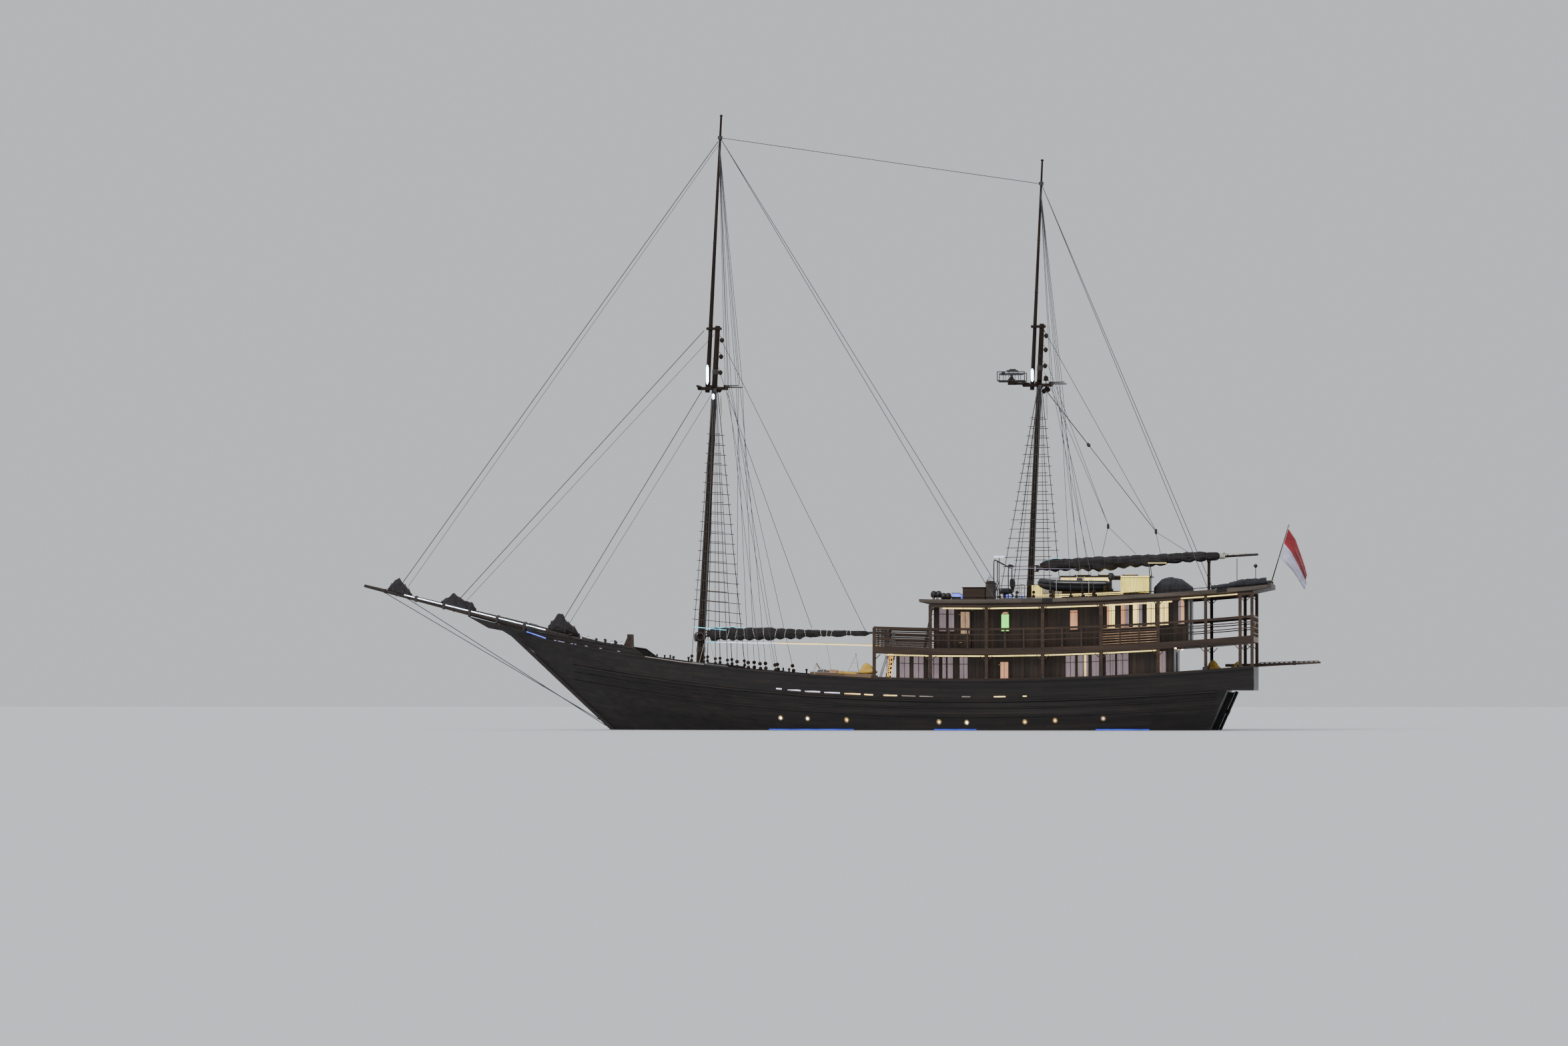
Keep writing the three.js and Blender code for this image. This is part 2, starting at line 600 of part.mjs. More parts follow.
function bittsGeometry() {
  const deck = (x) => sheer(x) + LEVEL.deck + SEAT;
  const { x, top, out, half } = BITTS;
  const posts = [1, -1].map((side) => box(x - 60, x + 60, side * out - half, side * out + half,
      deck(x + 60), top));
  const over = bowspritZ(x + 50) + bowspritRise(x) + SEAT;
  const under = bowspritZ(x - 50) - bowspritRise(x) - SEAT;
  const beams = [over, under - 90].map((low) => box(x - 50, x + 50, -330, 330, low, low + 90));
  const knees = [1, -1].map((side) => plate([
    [x + 50, top - 60], [x + 50, deck(x + 50) + 4], [x + 260, deck(x + 260) + 4], [x + 240, top - 470],
  ], [], side * out - 30, side * out + 30, sideways));
  return fuse(...posts, ...beams, ...knees);
}

// Booms with their furled sails
const FORE_BOOM = { tip: [873, 2420], radius: 42 };
const MAIN_BOOM = { tip: [-8719, 4352], radius: 46 };

function boomSpar(mast, neckZ, { tip, radius }, grow = 0) {
  const start = gooseneck(mast, neckZ, 0);
  return round([start[0], 0, start[2]], [tip[0], 0, tip[1]], radius + grow, radius * 0.6 + grow);
}

function boomGeometry(mast, neckZ, boom) {
  const eye = round(gooseneck(mast, neckZ, -PIN.eye), gooseneck(mast, neckZ, PIN.eye), PIN.radius,
      PIN.radius);
  return fuse(boomSpar(mast, neckZ, boom), eye);
}

// sections of a furled sail: place along the ship, bottom, top, half width
const FORE_SAIL = [[4890, 2330, 2490, 70], [4700, 2300, 2530, 105], [2560, 2310, 2520, 100],
    [2420, 2350, 2475, 70],
  [960, 2360, 2468, 60]];
const MAIN_SAIL = [[-3380, 3960, 4190, 90], [-3560, 3965, 4225, 130], [-4470, 3990, 4280, 140],
  [-5800, 4095, 4325, 120], [-7270, 4195, 4400, 105], [-7780, 4235, 4400, 80]];

function sailGeometry(sections, spars) {
  const rings = sections.map(([x, low, high, half]) => {
    const [middle, up] = [(low + high) / 2, (high - low) / 2];
    return Array.from({ length: 10 }, (_, k) => {
      const turn = (k + 0.5) * Math.PI / 5;
      return [x, half * Math.cos(turn), middle + up * Math.sin(turn)];
    });
  });
  return cut(loft(rings), spars);
}

function crutchGeometry() {
  const x = -7498;
  const foot = sheer(x - 25) + LEVEL.roof + SEAT;
  const top = 4215;
  return fuse(
    box(x - 25, x + 25, -290, -240, foot, top - 40), box(x - 25, x + 25, 240, 290, foot, top - 40),
    box(x - 32, x + 32, -420, 420, top - 60, top - 8), box(x - 20, x + 20, -260, 260, 3800, 3840),
  );
}

// Houses

const MAIN_WINDOWS = [[60, -188], [-287, -535], [-650, -914], [-1000, -1085], [-1129, -1260], [-1425, -1623],
  [-4041, -4271], [-4336, -4599], [-4681, -4861], [-5025, -5255], [-5304, -5582], [-6300, -6500]];
const UPPER_WINDOWS = [[-922, -1087], [-1153, -1285], [-2455, -2637], [-4149, -4330], [-5052, -5249],
  [-5397, -5593], [-5692, -5921], [-6036, -6232], [-6347, -6560], [-6805, -6952]];
const MAIN_DOOR = { fore: -2370, aft: -2690, top: 960 };
const UPPER_DOOR = { fore: -1384, aft: -1730, top: 1010 };

function sideWall(house, under, top, windows, sill, head, door) {
  const holes = windows.map(([fore, aft]) => opening(fore, aft, under + sill, under + head));
  holes.push(opening(door.fore, door.aft, under + 25, under + door.top));
  return plate(wallOutline(house.fore, house.aft, under + SEAT, top - SEAT), holes,
    house.half - WALL, house.half, sideways);
}

function endWall(x, half, under, top, holes) {
  const inside = half - WALL - SEAT;
  const [low, high] = [sheer(x) + under + SEAT + 3, sheer(x) + top - SEAT - 3];
  const panes = holes.map(([y0, y1, z0, z1]) => [
    [y0, sheer(x) + under + z0], [y1, sheer(x) + under + z0], [y1, sheer(x) + under + z1],
      [y0, sheer(x) + under + z1]]);
  return plate([[-inside, low], [inside, low], [inside, high], [-inside, high]], panes, x, x + WALL, athwart);
}

// A door turns on its fore edge, close to the wall there and clear of it all round the rest
const DOOR_CLEAR = 6;

function doorGeometry(half, door, under) {
  const [hinge, aft] = [door.fore - SEAT, door.aft + DOOR_CLEAR];
  const [low, high] = [under + 25 + DOOR_CLEAR, under + door.top - DOOR_CLEAR];
  return plate([
    [hinge, sheer(hinge) + low], [aft, sheer(aft) + low], [aft, sheer(aft) + high],
      [hinge, sheer(hinge) + high],
  ], [], half - 32, half - 2, sideways);
}

// Decks above

function mastHole(mast) {
  return lowerSpar(mast, GAP);
}

function crossRail(x, half, floor, bars) {
  const rails = bars.map(([low, high]) => box(x, x + 30, -half, half, floor + low, floor + high));
  const stanchions = [-1, -0.5, 0, 0.5, 1].map((t) =>
      box(x, x + 30, t * (half - 20) - 20, t * (half - 20) + 20,
    floor - 10, floor + bars[bars.length - 1][1]));
  return [...rails, ...stanchions];
}

const RAIL_BARS = [[70, 95], [210, 235], [345, 370], [470, 500]];
const STAIR = { foot: 560, head: 230, y0: 860, y1: 1260 };

function upperDeckGeometry() {
  const half = (x) => galleryY(x) - GALLERY.deep - SEAT;
  const floor = floorPlate(660, STERN_END, half, LEVEL.floorUnder, LEVEL.floor);
  const foreRail = crossRail(628, half(628) - 2, sheer(640) + LEVEL.floor, RAIL_BARS);
  const aftRail = crossRail(STERN_END + 2, half(STERN_END) - 2, sheer(STERN_END) + LEVEL.floor, RAIL_BARS);
  const well = box(STAIR.head - 60, STAIR.foot + 20, STAIR.y0 - 30, STAIR.y1 + 30, 1700, 2300);
  const body = joined([floor, ...foreRail, ...aftRail]);
  return shapeOf(body.subtract(solid(well)).subtract(solid(mastHole(MAINMAST))));
}

function roofGeometry() {
  const half = (x) => galleryY(x) + 55;
  const xs = stationsFrom(-469, -9090);
  const rings = xs.map((x, i) => {
    const thin = i === 0 || i === xs.length - 1 ? 55 : 0;
    const [low, high] = [sheer(x) + LEVEL.roofUnder + thin, sheer(x) + LEVEL.roof];
    return [[x, -half(x), low + 40 - thin * 0.5], [x, -half(x) + 90, low], [x, half(x) - 90, low],
      [x, half(x), low + 40 - thin * 0.5], [x, half(x), high], [x, -half(x), high]];
  });
  const console = box(-2180, -1980, -420, 420, sheer(-2080) + LEVEL.roof - 20, 3640);
  const aftRail = floorPlate(-8200, -9085, (x) => galleryY(x) - 60, LEVEL.roof - 10, LEVEL.roof + 45);
  const body = joined([loft(rings), console, aftRail]);
  return shapeOf(body.subtract(solid(mastHole(MAINMAST))));
}

// Side gallery: posts from the rail to the roof with a fascia at the upper deck and its rail
function galleryGeometry() {
  const [fore, aft] = [POSTS[0] + POST, POSTS[POSTS.length - 1] - POST];
  const shoulder = POSTS[1] + POST;
  const railTop = LEVEL.floor + 500;
  const header = LEVEL.roofUnder - SEAT;
  const xs = stationsFrom(fore, aft);
  const outline = [
    ...xs.map((x) => [x, sheer(x) + SEAT]),
    ...[...xs].reverse().filter((x) => x <= shoulder).map((x) => [x, sheer(x) + header]),
    [shoulder, sheer(shoulder) + header], [shoulder, sheer(shoulder) + railTop],
      [fore, sheer(fore) + railTop],
  ];
  const bands = [[28, LEVEL.floorUnder - 10], [LEVEL.floor + 30, LEVEL.floor + 210],
    [LEVEL.floor + 235, LEVEL.floor + 350], [LEVEL.floor + 375, LEVEL.floor + 470],
    [railTop, LEVEL.roofUnder - 70]];
  const holes = [];
  for (let i = 1; i < POSTS.length; i++) {
    const [ahead, behind] = [POSTS[i - 1] - POST, POSTS[i] + POST];
    bands.slice(0, i === 1 ? 4 : 5).forEach(([low, high]) => holes.push(opening(ahead, behind, low, high)));
  }
  return plate(outline, holes, -GALLERY.deep, 0, (x, z, t) => [x, galleryY(x) + t, z]);
}

function stairGeometry() {
  const deck = sheer(STAIR.foot) + LEVEL.deck + SEAT;
  const top = sheer(300) + LEVEL.floor;
  const steps = 6;
  const stringer = (y) => plate([
    [STAIR.foot, deck], [STAIR.foot - 70, deck], [STAIR.head - 40, top], [STAIR.head + 30, top]], [], y,
      y + 25, sideways);
  const treads = Array.from({ length: steps }, (_, k) => {
    const t = (k + 1) / (steps + 0.4);
    const x = STAIR.foot - 35 + t * (STAIR.head - STAIR.foot + 30);
    return box(x - 55, x + 55, STAIR.y0 + 10, STAIR.y1 - 10, deck + t * (top - deck) - 10,
        deck + t * (top - deck) + 10);
  });
  return fuse(stringer(STAIR.y0), stringer(STAIR.y1 - 25), ...treads);
}

// Lit skylight house on the roof, with the tender beside it
const SKYLIGHT = { fore: -3880, aft: -6060, half: 500, top: 3810 };

function skylightGeometry() {
  const base = (x) => sheer(x) + LEVEL.roof + SEAT;
  const xs = stationsFrom(SKYLIGHT.fore, SKYLIGHT.aft);
  const outline = [...xs.map((x) => [x, base(x)]), [SKYLIGHT.aft, SKYLIGHT.top],
      [SKYLIGHT.fore, SKYLIGHT.top]];
  const body = solid(plate(outline, [], -SKYLIGHT.half, SKYLIGHT.half, sideways));
  const room = box(SKYLIGHT.aft + 40, SKYLIGHT.fore - 40, -SKYLIGHT.half + 40, SKYLIGHT.half - 40, 3200,
      SKYLIGHT.top - 35);
  const panes = [-4100, -4640, -5180, -5720].map((x) =>
      box(x - 230, x + 130, -700, 700, 3440, SKYLIGHT.top - 70));
  const lid = box(SKYLIGHT.aft - 50, SKYLIGHT.fore + 50, -SKYLIGHT.half - 60, SKYLIGHT.half + 60,
    SKYLIGHT.top - 30, SKYLIGHT.top + 12);
  const shell = panes.reduce((rest, pane) => rest.subtract(solid(pane)), body.subtract(solid(room)));
  return shapeOf(shell.add(solid(lid)));
}

function tenderGeometry() {
  const y = 1010;
  // place along the ship, half beam, keel height, gunwale height
  const sections = [[-3290, 60, 3560, 3700], [-3520, 250, 3430, 3675], [-4000, 350, 3385, 3650],
    [-4700, 365, 3385, 3640], [-5040, 345, 3400, 3645]];
  const rings = sections.map(([x, half, keel, top]) => [
    [x, y - half * 0.55, keel], [x, y + half * 0.55, keel], [x, y + half, keel + (top - keel) * 0.5],
    [x, y + half * 0.96, top], [x, y - half * 0.96, top], [x, y - half, keel + (top - keel) * 0.5]]);
  const well = loft(sections.slice(1).map(([x, half, keel, top], i, all) => {
    const at = i === 0 ? x - 60 : i === all.length - 1 ? x + 40 : x;
    return [[at, y - half * 0.6, keel + 110], [at, y + half * 0.6, keel + 110],
        [at, y + half * 0.6, top + 50],
      [at, y - half * 0.6, top + 50]];
  }));
  const engine = [
    box(-5200, -5060, y - 60, y + 60, 3700, 3890), box(-5150, -5090, y - 30, y + 30, 3440, 3720),
    box(-5110, -5020, y - 45, y + 45, 3600, 3720),
  ];
  const chocks = [-3700, -4700].map((x) => box(x - 35, x + 35, y - 260, y + 260,
      sheer(x - 35) + LEVEL.roof + SEAT, 3430));
  return shapeOf(joined([loft(rings), ...chocks]).subtract(solid(well)).add(joined(engine)));
}

function coveredGearGeometry() {
  const sections = [[-6240, 150, 120], [-6400, 330, 340], [-6620, 340, 390], [-6900, 330, 320],
    [-7080, 160, 110]];
  return loft(sections.map(([x, half, up]) => {
    const base = sheer(x) + LEVEL.roof + SEAT;
    return [[x, -half, base], [x, half, base], [x, half * 0.9, base + up * 0.6], [x, half * 0.45, base + up],
      [x, -half * 0.45, base + up], [x, -half * 0.9, base + up * 0.6]];
  }));
}

// Ensign staff at the after end of the roof and the plain ensign that hangs from it
const STAFF = { foot: [-9020, 3585], head: [-9477, 5094], radius: 16, headRadius: 9 };
const staffX = (z) => STAFF.foot[0]
  + (z - STAFF.foot[1]) / (STAFF.head[1] - STAFF.foot[1]) * (STAFF.head[0] - STAFF.foot[0]);

function staffGeometry() {
  const foot = sheer(STAFF.foot[0] - 60) + LEVEL.roof + 45;
  return fuse(
    round([staffX(foot + 12), 0, foot + 12], [STAFF.head[0], 0, STAFF.head[1]],
      STAFF.radius, STAFF.headRadius, 8),
    box(staffX(foot) - 60, staffX(foot) + 40, -45, 45, foot + SEAT, foot + 50),
  );
}

function ensignGeometry() {
  const along = (z) => (z - STAFF.foot[1]) / (STAFF.head[1] - STAFF.foot[1]);
  const off = (z) => staffX(z) - 1.045 * (STAFF.radius + (STAFF.headRadius - STAFF.radius) * along(z)) - SEAT;
  return plate([
    [off(4990), 4990], [off(4260), 4260], [-9560, 3960], [-9880, 3470], [-9930, 3820], [-9790, 4300],
      [-9640, 4760],
  ], [], -5, 5, sideways);
}

// Half the length along the ship that a bean bag lies on
const BAG_SOLE = 139;

function bagGeometry(x, y, floor, radius, high) {
  const profile = [[0, 0], [0.75, 0], [1, 0.22], [0.92, 0.55], [0.45, 0.92], [0, 1]];
  const points = profile.map(([r, h]) => new THREE.Vector2(r * radius, h * high));
  const geometry = new THREE.LatheGeometry(points, 14);
  return reshape(geometry, (a, b, c) => [x + a, y + c, floor + b]);
}

function awningGeometry() {
  const sections = [[5030, 520, 2205], [4400, 850, 2192], [2400, 950, 2155], [658.5, 950, 2112]];
  return loft(sections.map(([x, half, z]) =>
      [[x, -half, z], [x, half, z], [x, half, z + 14], [x, -half, z + 14]]));
}

function gangwayGeometry() {
  const rest = sheer(STERN_END) + SEAT;
  const tip = [-10250, 1650];
  const plank = plate([
    [-7900, rest], [-8700, rest], tip, [tip[0], tip[1] + 45], [-8700, rest + 80], [-7900, rest + 70],
  ], [], -130, 130, sideways);
  return fuse(plank, box(-9640, -9560, -100, 100, rest + 40, rest + 150));
}

// The assembly

const hull = hullGeometry();
add('hull', hull, 'hull');
add('backbone', backboneGeometry(), 'hull');
add('main_deck', mainDeckGeometry(), 'deck');
addBothSides('bulwark', bulwarkGeometry(), 'hull');
add('stern_counter', sternCounterGeometry(), 'hull');
add('rudder', rudderGeometry(), 'hull');
addBothSides('shaft', shaftGeometry(hull), 'steel');
addBothSides('propeller', screwGeometry(), 'bronze');
add('bowsprit', bowspritGeometry(), 'spar');
add('bow_bitts', bittsGeometry(), 'timber');
JIBS.forEach((jib) => add(`jib_${jib.name}`, jibGeometry(jib), 'canvas'));

add('foremast', lowerMastGeometry(FOREMAST, FORE_TOPMAST, FORE_GOOSENECK), 'spar');
add('fore_topmast', topmastSpar(FORE_TOPMAST), 'spar');
add('fore_crosstrees', crosstreesGeometry(FOREMAST, FORE_TOPMAST, FORE_TREE), 'spar');
add('mainmast', lowerMastGeometry(MAINMAST, MAIN_TOPMAST, MAIN_GOOSENECK), 'spar');
add('main_topmast', topmastSpar(MAIN_TOPMAST), 'spar');
add('main_crosstrees', crosstreesGeometry(MAINMAST, MAIN_TOPMAST, MAIN_TREE, radarArm()), 'spar');
add('radar_scanner', scannerGeometry(), 'grey');
addBothSides('fore_shrouds', shroudGeometry(foreFan), 'steel');
addBothSides('main_shrouds', shroudGeometry(mainFan), 'steel');
add('fore_head_stays', foreHeadStaysGeometry(), 'steel');
add('main_head_stays', mainHeadStaysGeometry(), 'steel');

add('fore_boom', boomGeometry(FOREMAST, FORE_GOOSENECK, FORE_BOOM), 'spar');
add('fore_sail', sailGeometry(FORE_SAIL, boomSpar(FOREMAST, FORE_GOOSENECK, FORE_BOOM, GAP)), 'canvas');
add('main_boom', boomGeometry(MAINMAST, MAIN_GOOSENECK, MAIN_BOOM), 'spar');
add('main_sail', sailGeometry(MAIN_SAIL, boomSpar(MAINMAST, MAIN_GOOSENECK, MAIN_BOOM, GAP)), 'canvas');
add('boom_crutch', crutchGeometry(), 'spar');
add('foredeck_awning', awningGeometry(), 'awning');

const [main, upper] = [MAIN_HOUSE, UPPER_HOUSE];
addBothSides('main_house', sideWall(main, LEVEL.deck, LEVEL.floorUnder, MAIN_WINDOWS, 400, 1000,
    MAIN_DOOR), 'timber');
add('main_house_front', endWall(main.fore - WALL, main.half, LEVEL.deck, LEVEL.floorUnder,
  [[-1300, -700, 450, 950], [-350, 350, 450, 950]]), 'timber');
add('main_house_back', endWall(main.aft, main.half, LEVEL.deck, LEVEL.floorUnder, [[-350, 350, 25, 960]]),
    'timber');
addBothSides('upper_house', sideWall(upper, LEVEL.floor, LEVEL.roofUnder, UPPER_WINDOWS, 650, 1035,
    UPPER_DOOR), 'timber');
add('upper_house_front', endWall(upper.fore - WALL, upper.half, LEVEL.floor, LEVEL.roofUnder,
  [[-1300, -500, 600, 1000], [-350, 350, 600, 1000], [500, 1300, 600, 1000]]), 'timber');
add('upper_house_back', endWall(upper.aft, upper.half, LEVEL.floor, LEVEL.roofUnder,
    [[-350, 350, 25, 1010]]), 'timber');
addBothSides('main_door', doorGeometry(main.half, MAIN_DOOR, LEVEL.deck), 'timber');
addBothSides('upper_door', doorGeometry(upper.half, UPPER_DOOR, LEVEL.floor), 'timber');
add('upper_deck', upperDeckGeometry(), 'deck');
add('roof', roofGeometry(), 'timber');
addBothSides('gallery', galleryGeometry(), 'timber');
add('fore_stair', stairGeometry(), 'timber');
add('skylight_house', skylightGeometry(), 'timber');
add('tender', tenderGeometry(), 'grey');
add('covered_gear', coveredGearGeometry(), 'canvas');
add('ensign_staff', staffGeometry(), 'spar');
add('ensign', ensignGeometry(), 'ensign');
add('bean_bag_fore', bagGeometry(1010, 640, sheer(1010 + BAG_SOLE) + TRUNK_TOP + SEAT, 190, 260), 'bag');
add('bean_bag_aft', bagGeometry(-7620, 500, sheer(-7620 - BAG_SOLE) + LOCKER_TOP + SEAT, 190, 270), 'bag');
add('gangway', gangwayGeometry(), 'timber');

export default ship;
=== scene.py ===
# %% [markdown]
# A two-masted timber sailing ship lies on still water with her lamps lit. The imported model gives the solids:
# hull, houses, spars and standing rigging. This file dresses them. Everything is in metres, with the bow at
# +X, port at +Y and the waterline at z = 0.

# %% Load the imported model
import math

import bpy
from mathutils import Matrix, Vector, noise


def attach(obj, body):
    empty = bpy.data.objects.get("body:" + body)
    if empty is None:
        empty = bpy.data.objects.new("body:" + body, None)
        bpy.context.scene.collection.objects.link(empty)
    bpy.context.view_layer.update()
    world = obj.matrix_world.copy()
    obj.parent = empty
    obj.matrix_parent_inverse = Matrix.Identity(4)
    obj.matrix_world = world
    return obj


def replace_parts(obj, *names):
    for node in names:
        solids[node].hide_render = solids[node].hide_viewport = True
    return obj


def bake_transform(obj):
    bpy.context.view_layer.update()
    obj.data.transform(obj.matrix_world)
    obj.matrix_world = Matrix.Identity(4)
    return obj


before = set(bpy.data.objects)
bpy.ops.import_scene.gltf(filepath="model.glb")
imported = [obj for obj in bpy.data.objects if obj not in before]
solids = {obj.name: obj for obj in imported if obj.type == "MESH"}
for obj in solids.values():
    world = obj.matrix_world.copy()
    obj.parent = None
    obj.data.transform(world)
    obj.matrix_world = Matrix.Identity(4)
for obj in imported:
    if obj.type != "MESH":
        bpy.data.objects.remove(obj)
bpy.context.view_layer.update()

# %% [markdown]
# The camera stands far off on the port side with a long lens, just above the water, and looks slightly
# forward. A long lens far away keeps the ship's lines nearly parallel. A picture 2350 points wide, a focal
# length of 9000 points and a sensor 36 mm wide give the lens in millimetres.

# %% The camera
PICTURE_WIDE, FOCAL_POINTS, SENSOR = 2350, 9000, 36.0
FAR_OFF, EYE_HEIGHT, AIM_X = 150.0, 0.9, 3.10
TURN = math.radians(6.3)
HORIZON_BELOW_MIDDLE = 256 / FOCAL_POINTS
camera = bpy.data.objects.new("camera", bpy.data.cameras.new("camera"))
bpy.context.scene.collection.objects.link(camera)
camera.data.sensor_width = SENSOR
camera.data.lens = SENSOR * FOCAL_POINTS / PICTURE_WIDE
camera.data.clip_end = 2000
camera.location = (AIM_X - FAR_OFF * math.sin(TURN), FAR_OFF * math.cos(TURN), EYE_HEIGHT)
sight = Vector((math.sin(TURN), -math.cos(TURN), HORIZON_BELOW_MIDDLE))
camera.rotation_euler = sight.to_track_quat("-Z", "Y").to_euler()
bpy.context.scene.camera = camera
print("lens:", round(camera.data.lens, 1), "mm")

# %% [markdown]
# The studio is a wide pale floor at the waterline under a pale sky, with one large soft key light from the
# port bow and a weaker one from astern. A sun lamp with a wide angle gives the same soft shadow at any
# distance, which suits a model 24 m long better than a panel close by.

# %% Floor and lights
FLOOR_HALF = 260.0
floor = bpy.data.objects.new("floor", bpy.data.meshes.new("floor"))
corners = [(i * FLOOR_HALF, j * FLOOR_HALF, 0) for i, j in ((-1, -1), (1, -1), (1, 1), (-1, 1))]
floor.data.from_pydata(corners, [], [(0, 1, 2, 3)])
bpy.context.scene.collection.objects.link(floor)
floor_paint = bpy.data.materials.new("studio_floor")
floor_paint.use_nodes = True
floor_shader = floor_paint.node_tree.nodes["Principled BSDF"]
floor_shader.inputs["Base Color"].default_value = (0.62, 0.64, 0.67, 1)
floor_shader.inputs["Roughness"].default_value = 0.7
floor.data.materials.append(floor_paint)

sky = bpy.data.worlds.new("studio_sky")
sky.use_nodes = True
sky.node_tree.nodes["Background"].inputs["Color"].default_value = (0.86, 0.88, 0.93, 1)
sky.node_tree.nodes["Background"].inputs["Strength"].default_value = 0.75
bpy.context.scene.world = sky


def sun(name, strength, angle, aim, tint):
    lamp = bpy.data.objects.new(name, bpy.data.lights.new(name, "SUN"))
    lamp.data.energy, lamp.data.angle, lamp.data.color = strength, math.radians(angle), tint
    lamp.rotation_euler = Vector(aim).to_track_quat("-Z", "Y").to_euler()
    bpy.context.scene.collection.objects.link(lamp)


sun("key", 2.2, 40, (-0.5, -0.9, -0.8), (1.0, 0.97, 0.93))
sun("fill", 0.8, 60, (0.7, 0.5, -0.5), (0.92, 0.95, 1.0))
print("lights: a key and a fill")

# %% [markdown]
# The ship's lines are rules, not drawings. The sheer is the curve of the rail's top, a parabola on each side
# of its lowest point, and the frames hold it as straight runs between stations. The side galleries lean in a
# little towards the stern. Every piece that sits on a rail or a deck asks these rules where it is. Deck
# levels are heights over the sheer, because the decks follow it.

# %% The lines of the ship
STATIONS = [-9.2, -8.62, -8.33, -7.49, -6.33, -4.93, -3.5, -2.12, -0.74, 0.64,
            2.3, 4.1, 5.5, 6.9, 8.3, 9.6, 10.6]
POSTS = [0.64, -0.74, -2.12, -3.5, -4.93, -6.33, -7.49, -8.33, -8.62]
LOW_X, LOW_Z, RISE_FORE, RISE_AFT = -1.667, 1.244, 0.0089, 0.0066
DECK, FLOOR, ROOF = -0.45, 0.74, 1.97
MAIN_HALF, UPPER_HALF, GALLERY_HALF, GALLERY_LEAN = 1.60, 1.50, 2.105, 0.19 / 9.0
BEAM_HALF, STEM_HALF, UNDER_RAIL = 2.11, 0.06, 0.49
STEM_FOOT, STEM_RAKE, STERN_FOOT, STERN_RAKE = 7.334, 1.073, -7.561, 0.449


def sheer_curve(x):
    return LOW_Z + (RISE_FORE if x > LOW_X else RISE_AFT) * (x - LOW_X) ** 2


def sheer(x):
    for aft, fore in zip(STATIONS, STATIONS[1:]):
        if x <= fore or fore == STATIONS[-1]:
            share = (x - aft) / (fore - aft)
            return sheer_curve(aft) + share * (sheer_curve(fore) - sheer_curve(aft))


def gallery_y(x):
    return GALLERY_HALF - GALLERY_LEAN * (POSTS[0] - x)


def deck_edge(x):
    over = sheer(x) - UNDER_RAIL
    stem, stern = STEM_FOOT + STEM_RAKE * over, STERN_FOOT - STERN_RAKE * over
    share = (x - stern) / (stem - stern)
    if share > 0.5:
        fullness = 1 - min(max(0.0, (share - 0.55) / 0.45), 1.0) ** 2.4
        return STEM_HALF + (BEAM_HALF - STEM_HALF) * fullness
    return BEAM_HALF - 0.21 * min((0.5 - share) / 0.5, 1.0) ** 1.3


def on_gallery(places, inside, level):
    return [(x, gallery_y(x) - inside, sheer(x) + level) for x in places]


def roof_at(x):
    return sheer(x) + ROOF


def hull_side(x, z):
    found, spot, normal, _ = solids["hull"].ray_cast(Vector((x, 5.0, z)), Vector((0, -1, 0)))
    return (spot, normal) if found else (None, None)


print("rail height at bow and stern:", round(sheer(8.9), 2), round(sheer(-8.6), 2))

# %% [markdown]
# Pieces are made from a few shapes: rods and tubes that follow a path, turned pieces and balls as from a
# lathe, flat bars, blocks, plates, hoops, and skins through rings. Each shape is a list of points and a list
# of faces.

# %% Shapes


def at(x, y, z):
    return Vector((x, y, z))


def above(z):
    return Vector((0, 0, z))


def spread(first, last, parts):
    return [first + (last - first) * i / parts for i in range(parts + 1)]


def circle(count):
    return [2 * math.pi * k / count for k in range(count)]


def square_to(along):
    up = above(1) if abs(along.normalized().z) < 0.9 else at(1, 0, 0)
    across = along.cross(up).normalized()
    return across, across.cross(along).normalized()


def skin(rings, closed=True):
    size, points, faces = len(rings[0]), [Vector(p) for ring in rings for p in ring], []
    for i in range(len(rings) - 1):
        for k in range(size if closed else size - 1):
            a, b = i * size + k, i * size + (k + 1) % size
            faces.append((a, b, b + size, a + size))
    if closed:
        faces.append(tuple(reversed(range(size))))
        faces.append(tuple(range(len(points) - size, len(points))))
    return points, faces


def tube(path, radius, sides=8):
    path = [Vector(p) for p in path]
    count, rings = len(path), []
    sizes = radius if isinstance(radius, (list, tuple)) else [radius] * count
    for i, spot in enumerate(path):
        across, over = square_to(path[min(i + 1, count - 1)] - path[max(i - 1, 0)])
        ways = [2 * math.pi * (k + 0.5) / sides for k in range(sides)]
        rings.append([spot + sizes[i] * (math.cos(t) * across + math.sin(t) * over) for t in ways])
    return skin(rings)


def turned(spot, way, places, sizes, sides):
    return tube([Vector(spot) + Vector(way) * place for place in places], sizes, sides)


def ball(centre, radius, parts, sides):
    ways = spread(0, math.pi, parts)
    return turned(centre, (0, 0, -radius), [math.cos(t) for t in ways],
                  [radius * math.sin(t) + 0.001 for t in ways], sides)


BOX_FACES = [(3, 2, 1, 0), (4, 5, 6, 7), (0, 1, 5, 4), (1, 2, 6, 5), (2, 3, 7, 6), (3, 0, 4, 7)]
BOX_CORNERS = ((-1, -1), (1, -1), (1, 1), (-1, 1))


def bar(a, b, wide, high):
    a, b = Vector(a), Vector(b)
    across, over = square_to(b - a)
    points = [p + i * across * wide / 2 + j * over * high / 2 for p in (a, b) for i, j in BOX_CORNERS]
    return points, BOX_FACES


def block(low, high):
    (x0, y0, z0), (x1, y1, z1) = low, high
    return [at(x, y, z) for z in (z0, z1) for x, y in ((x0, y0), (x1, y0), (x1, y1), (x0, y1))], BOX_FACES


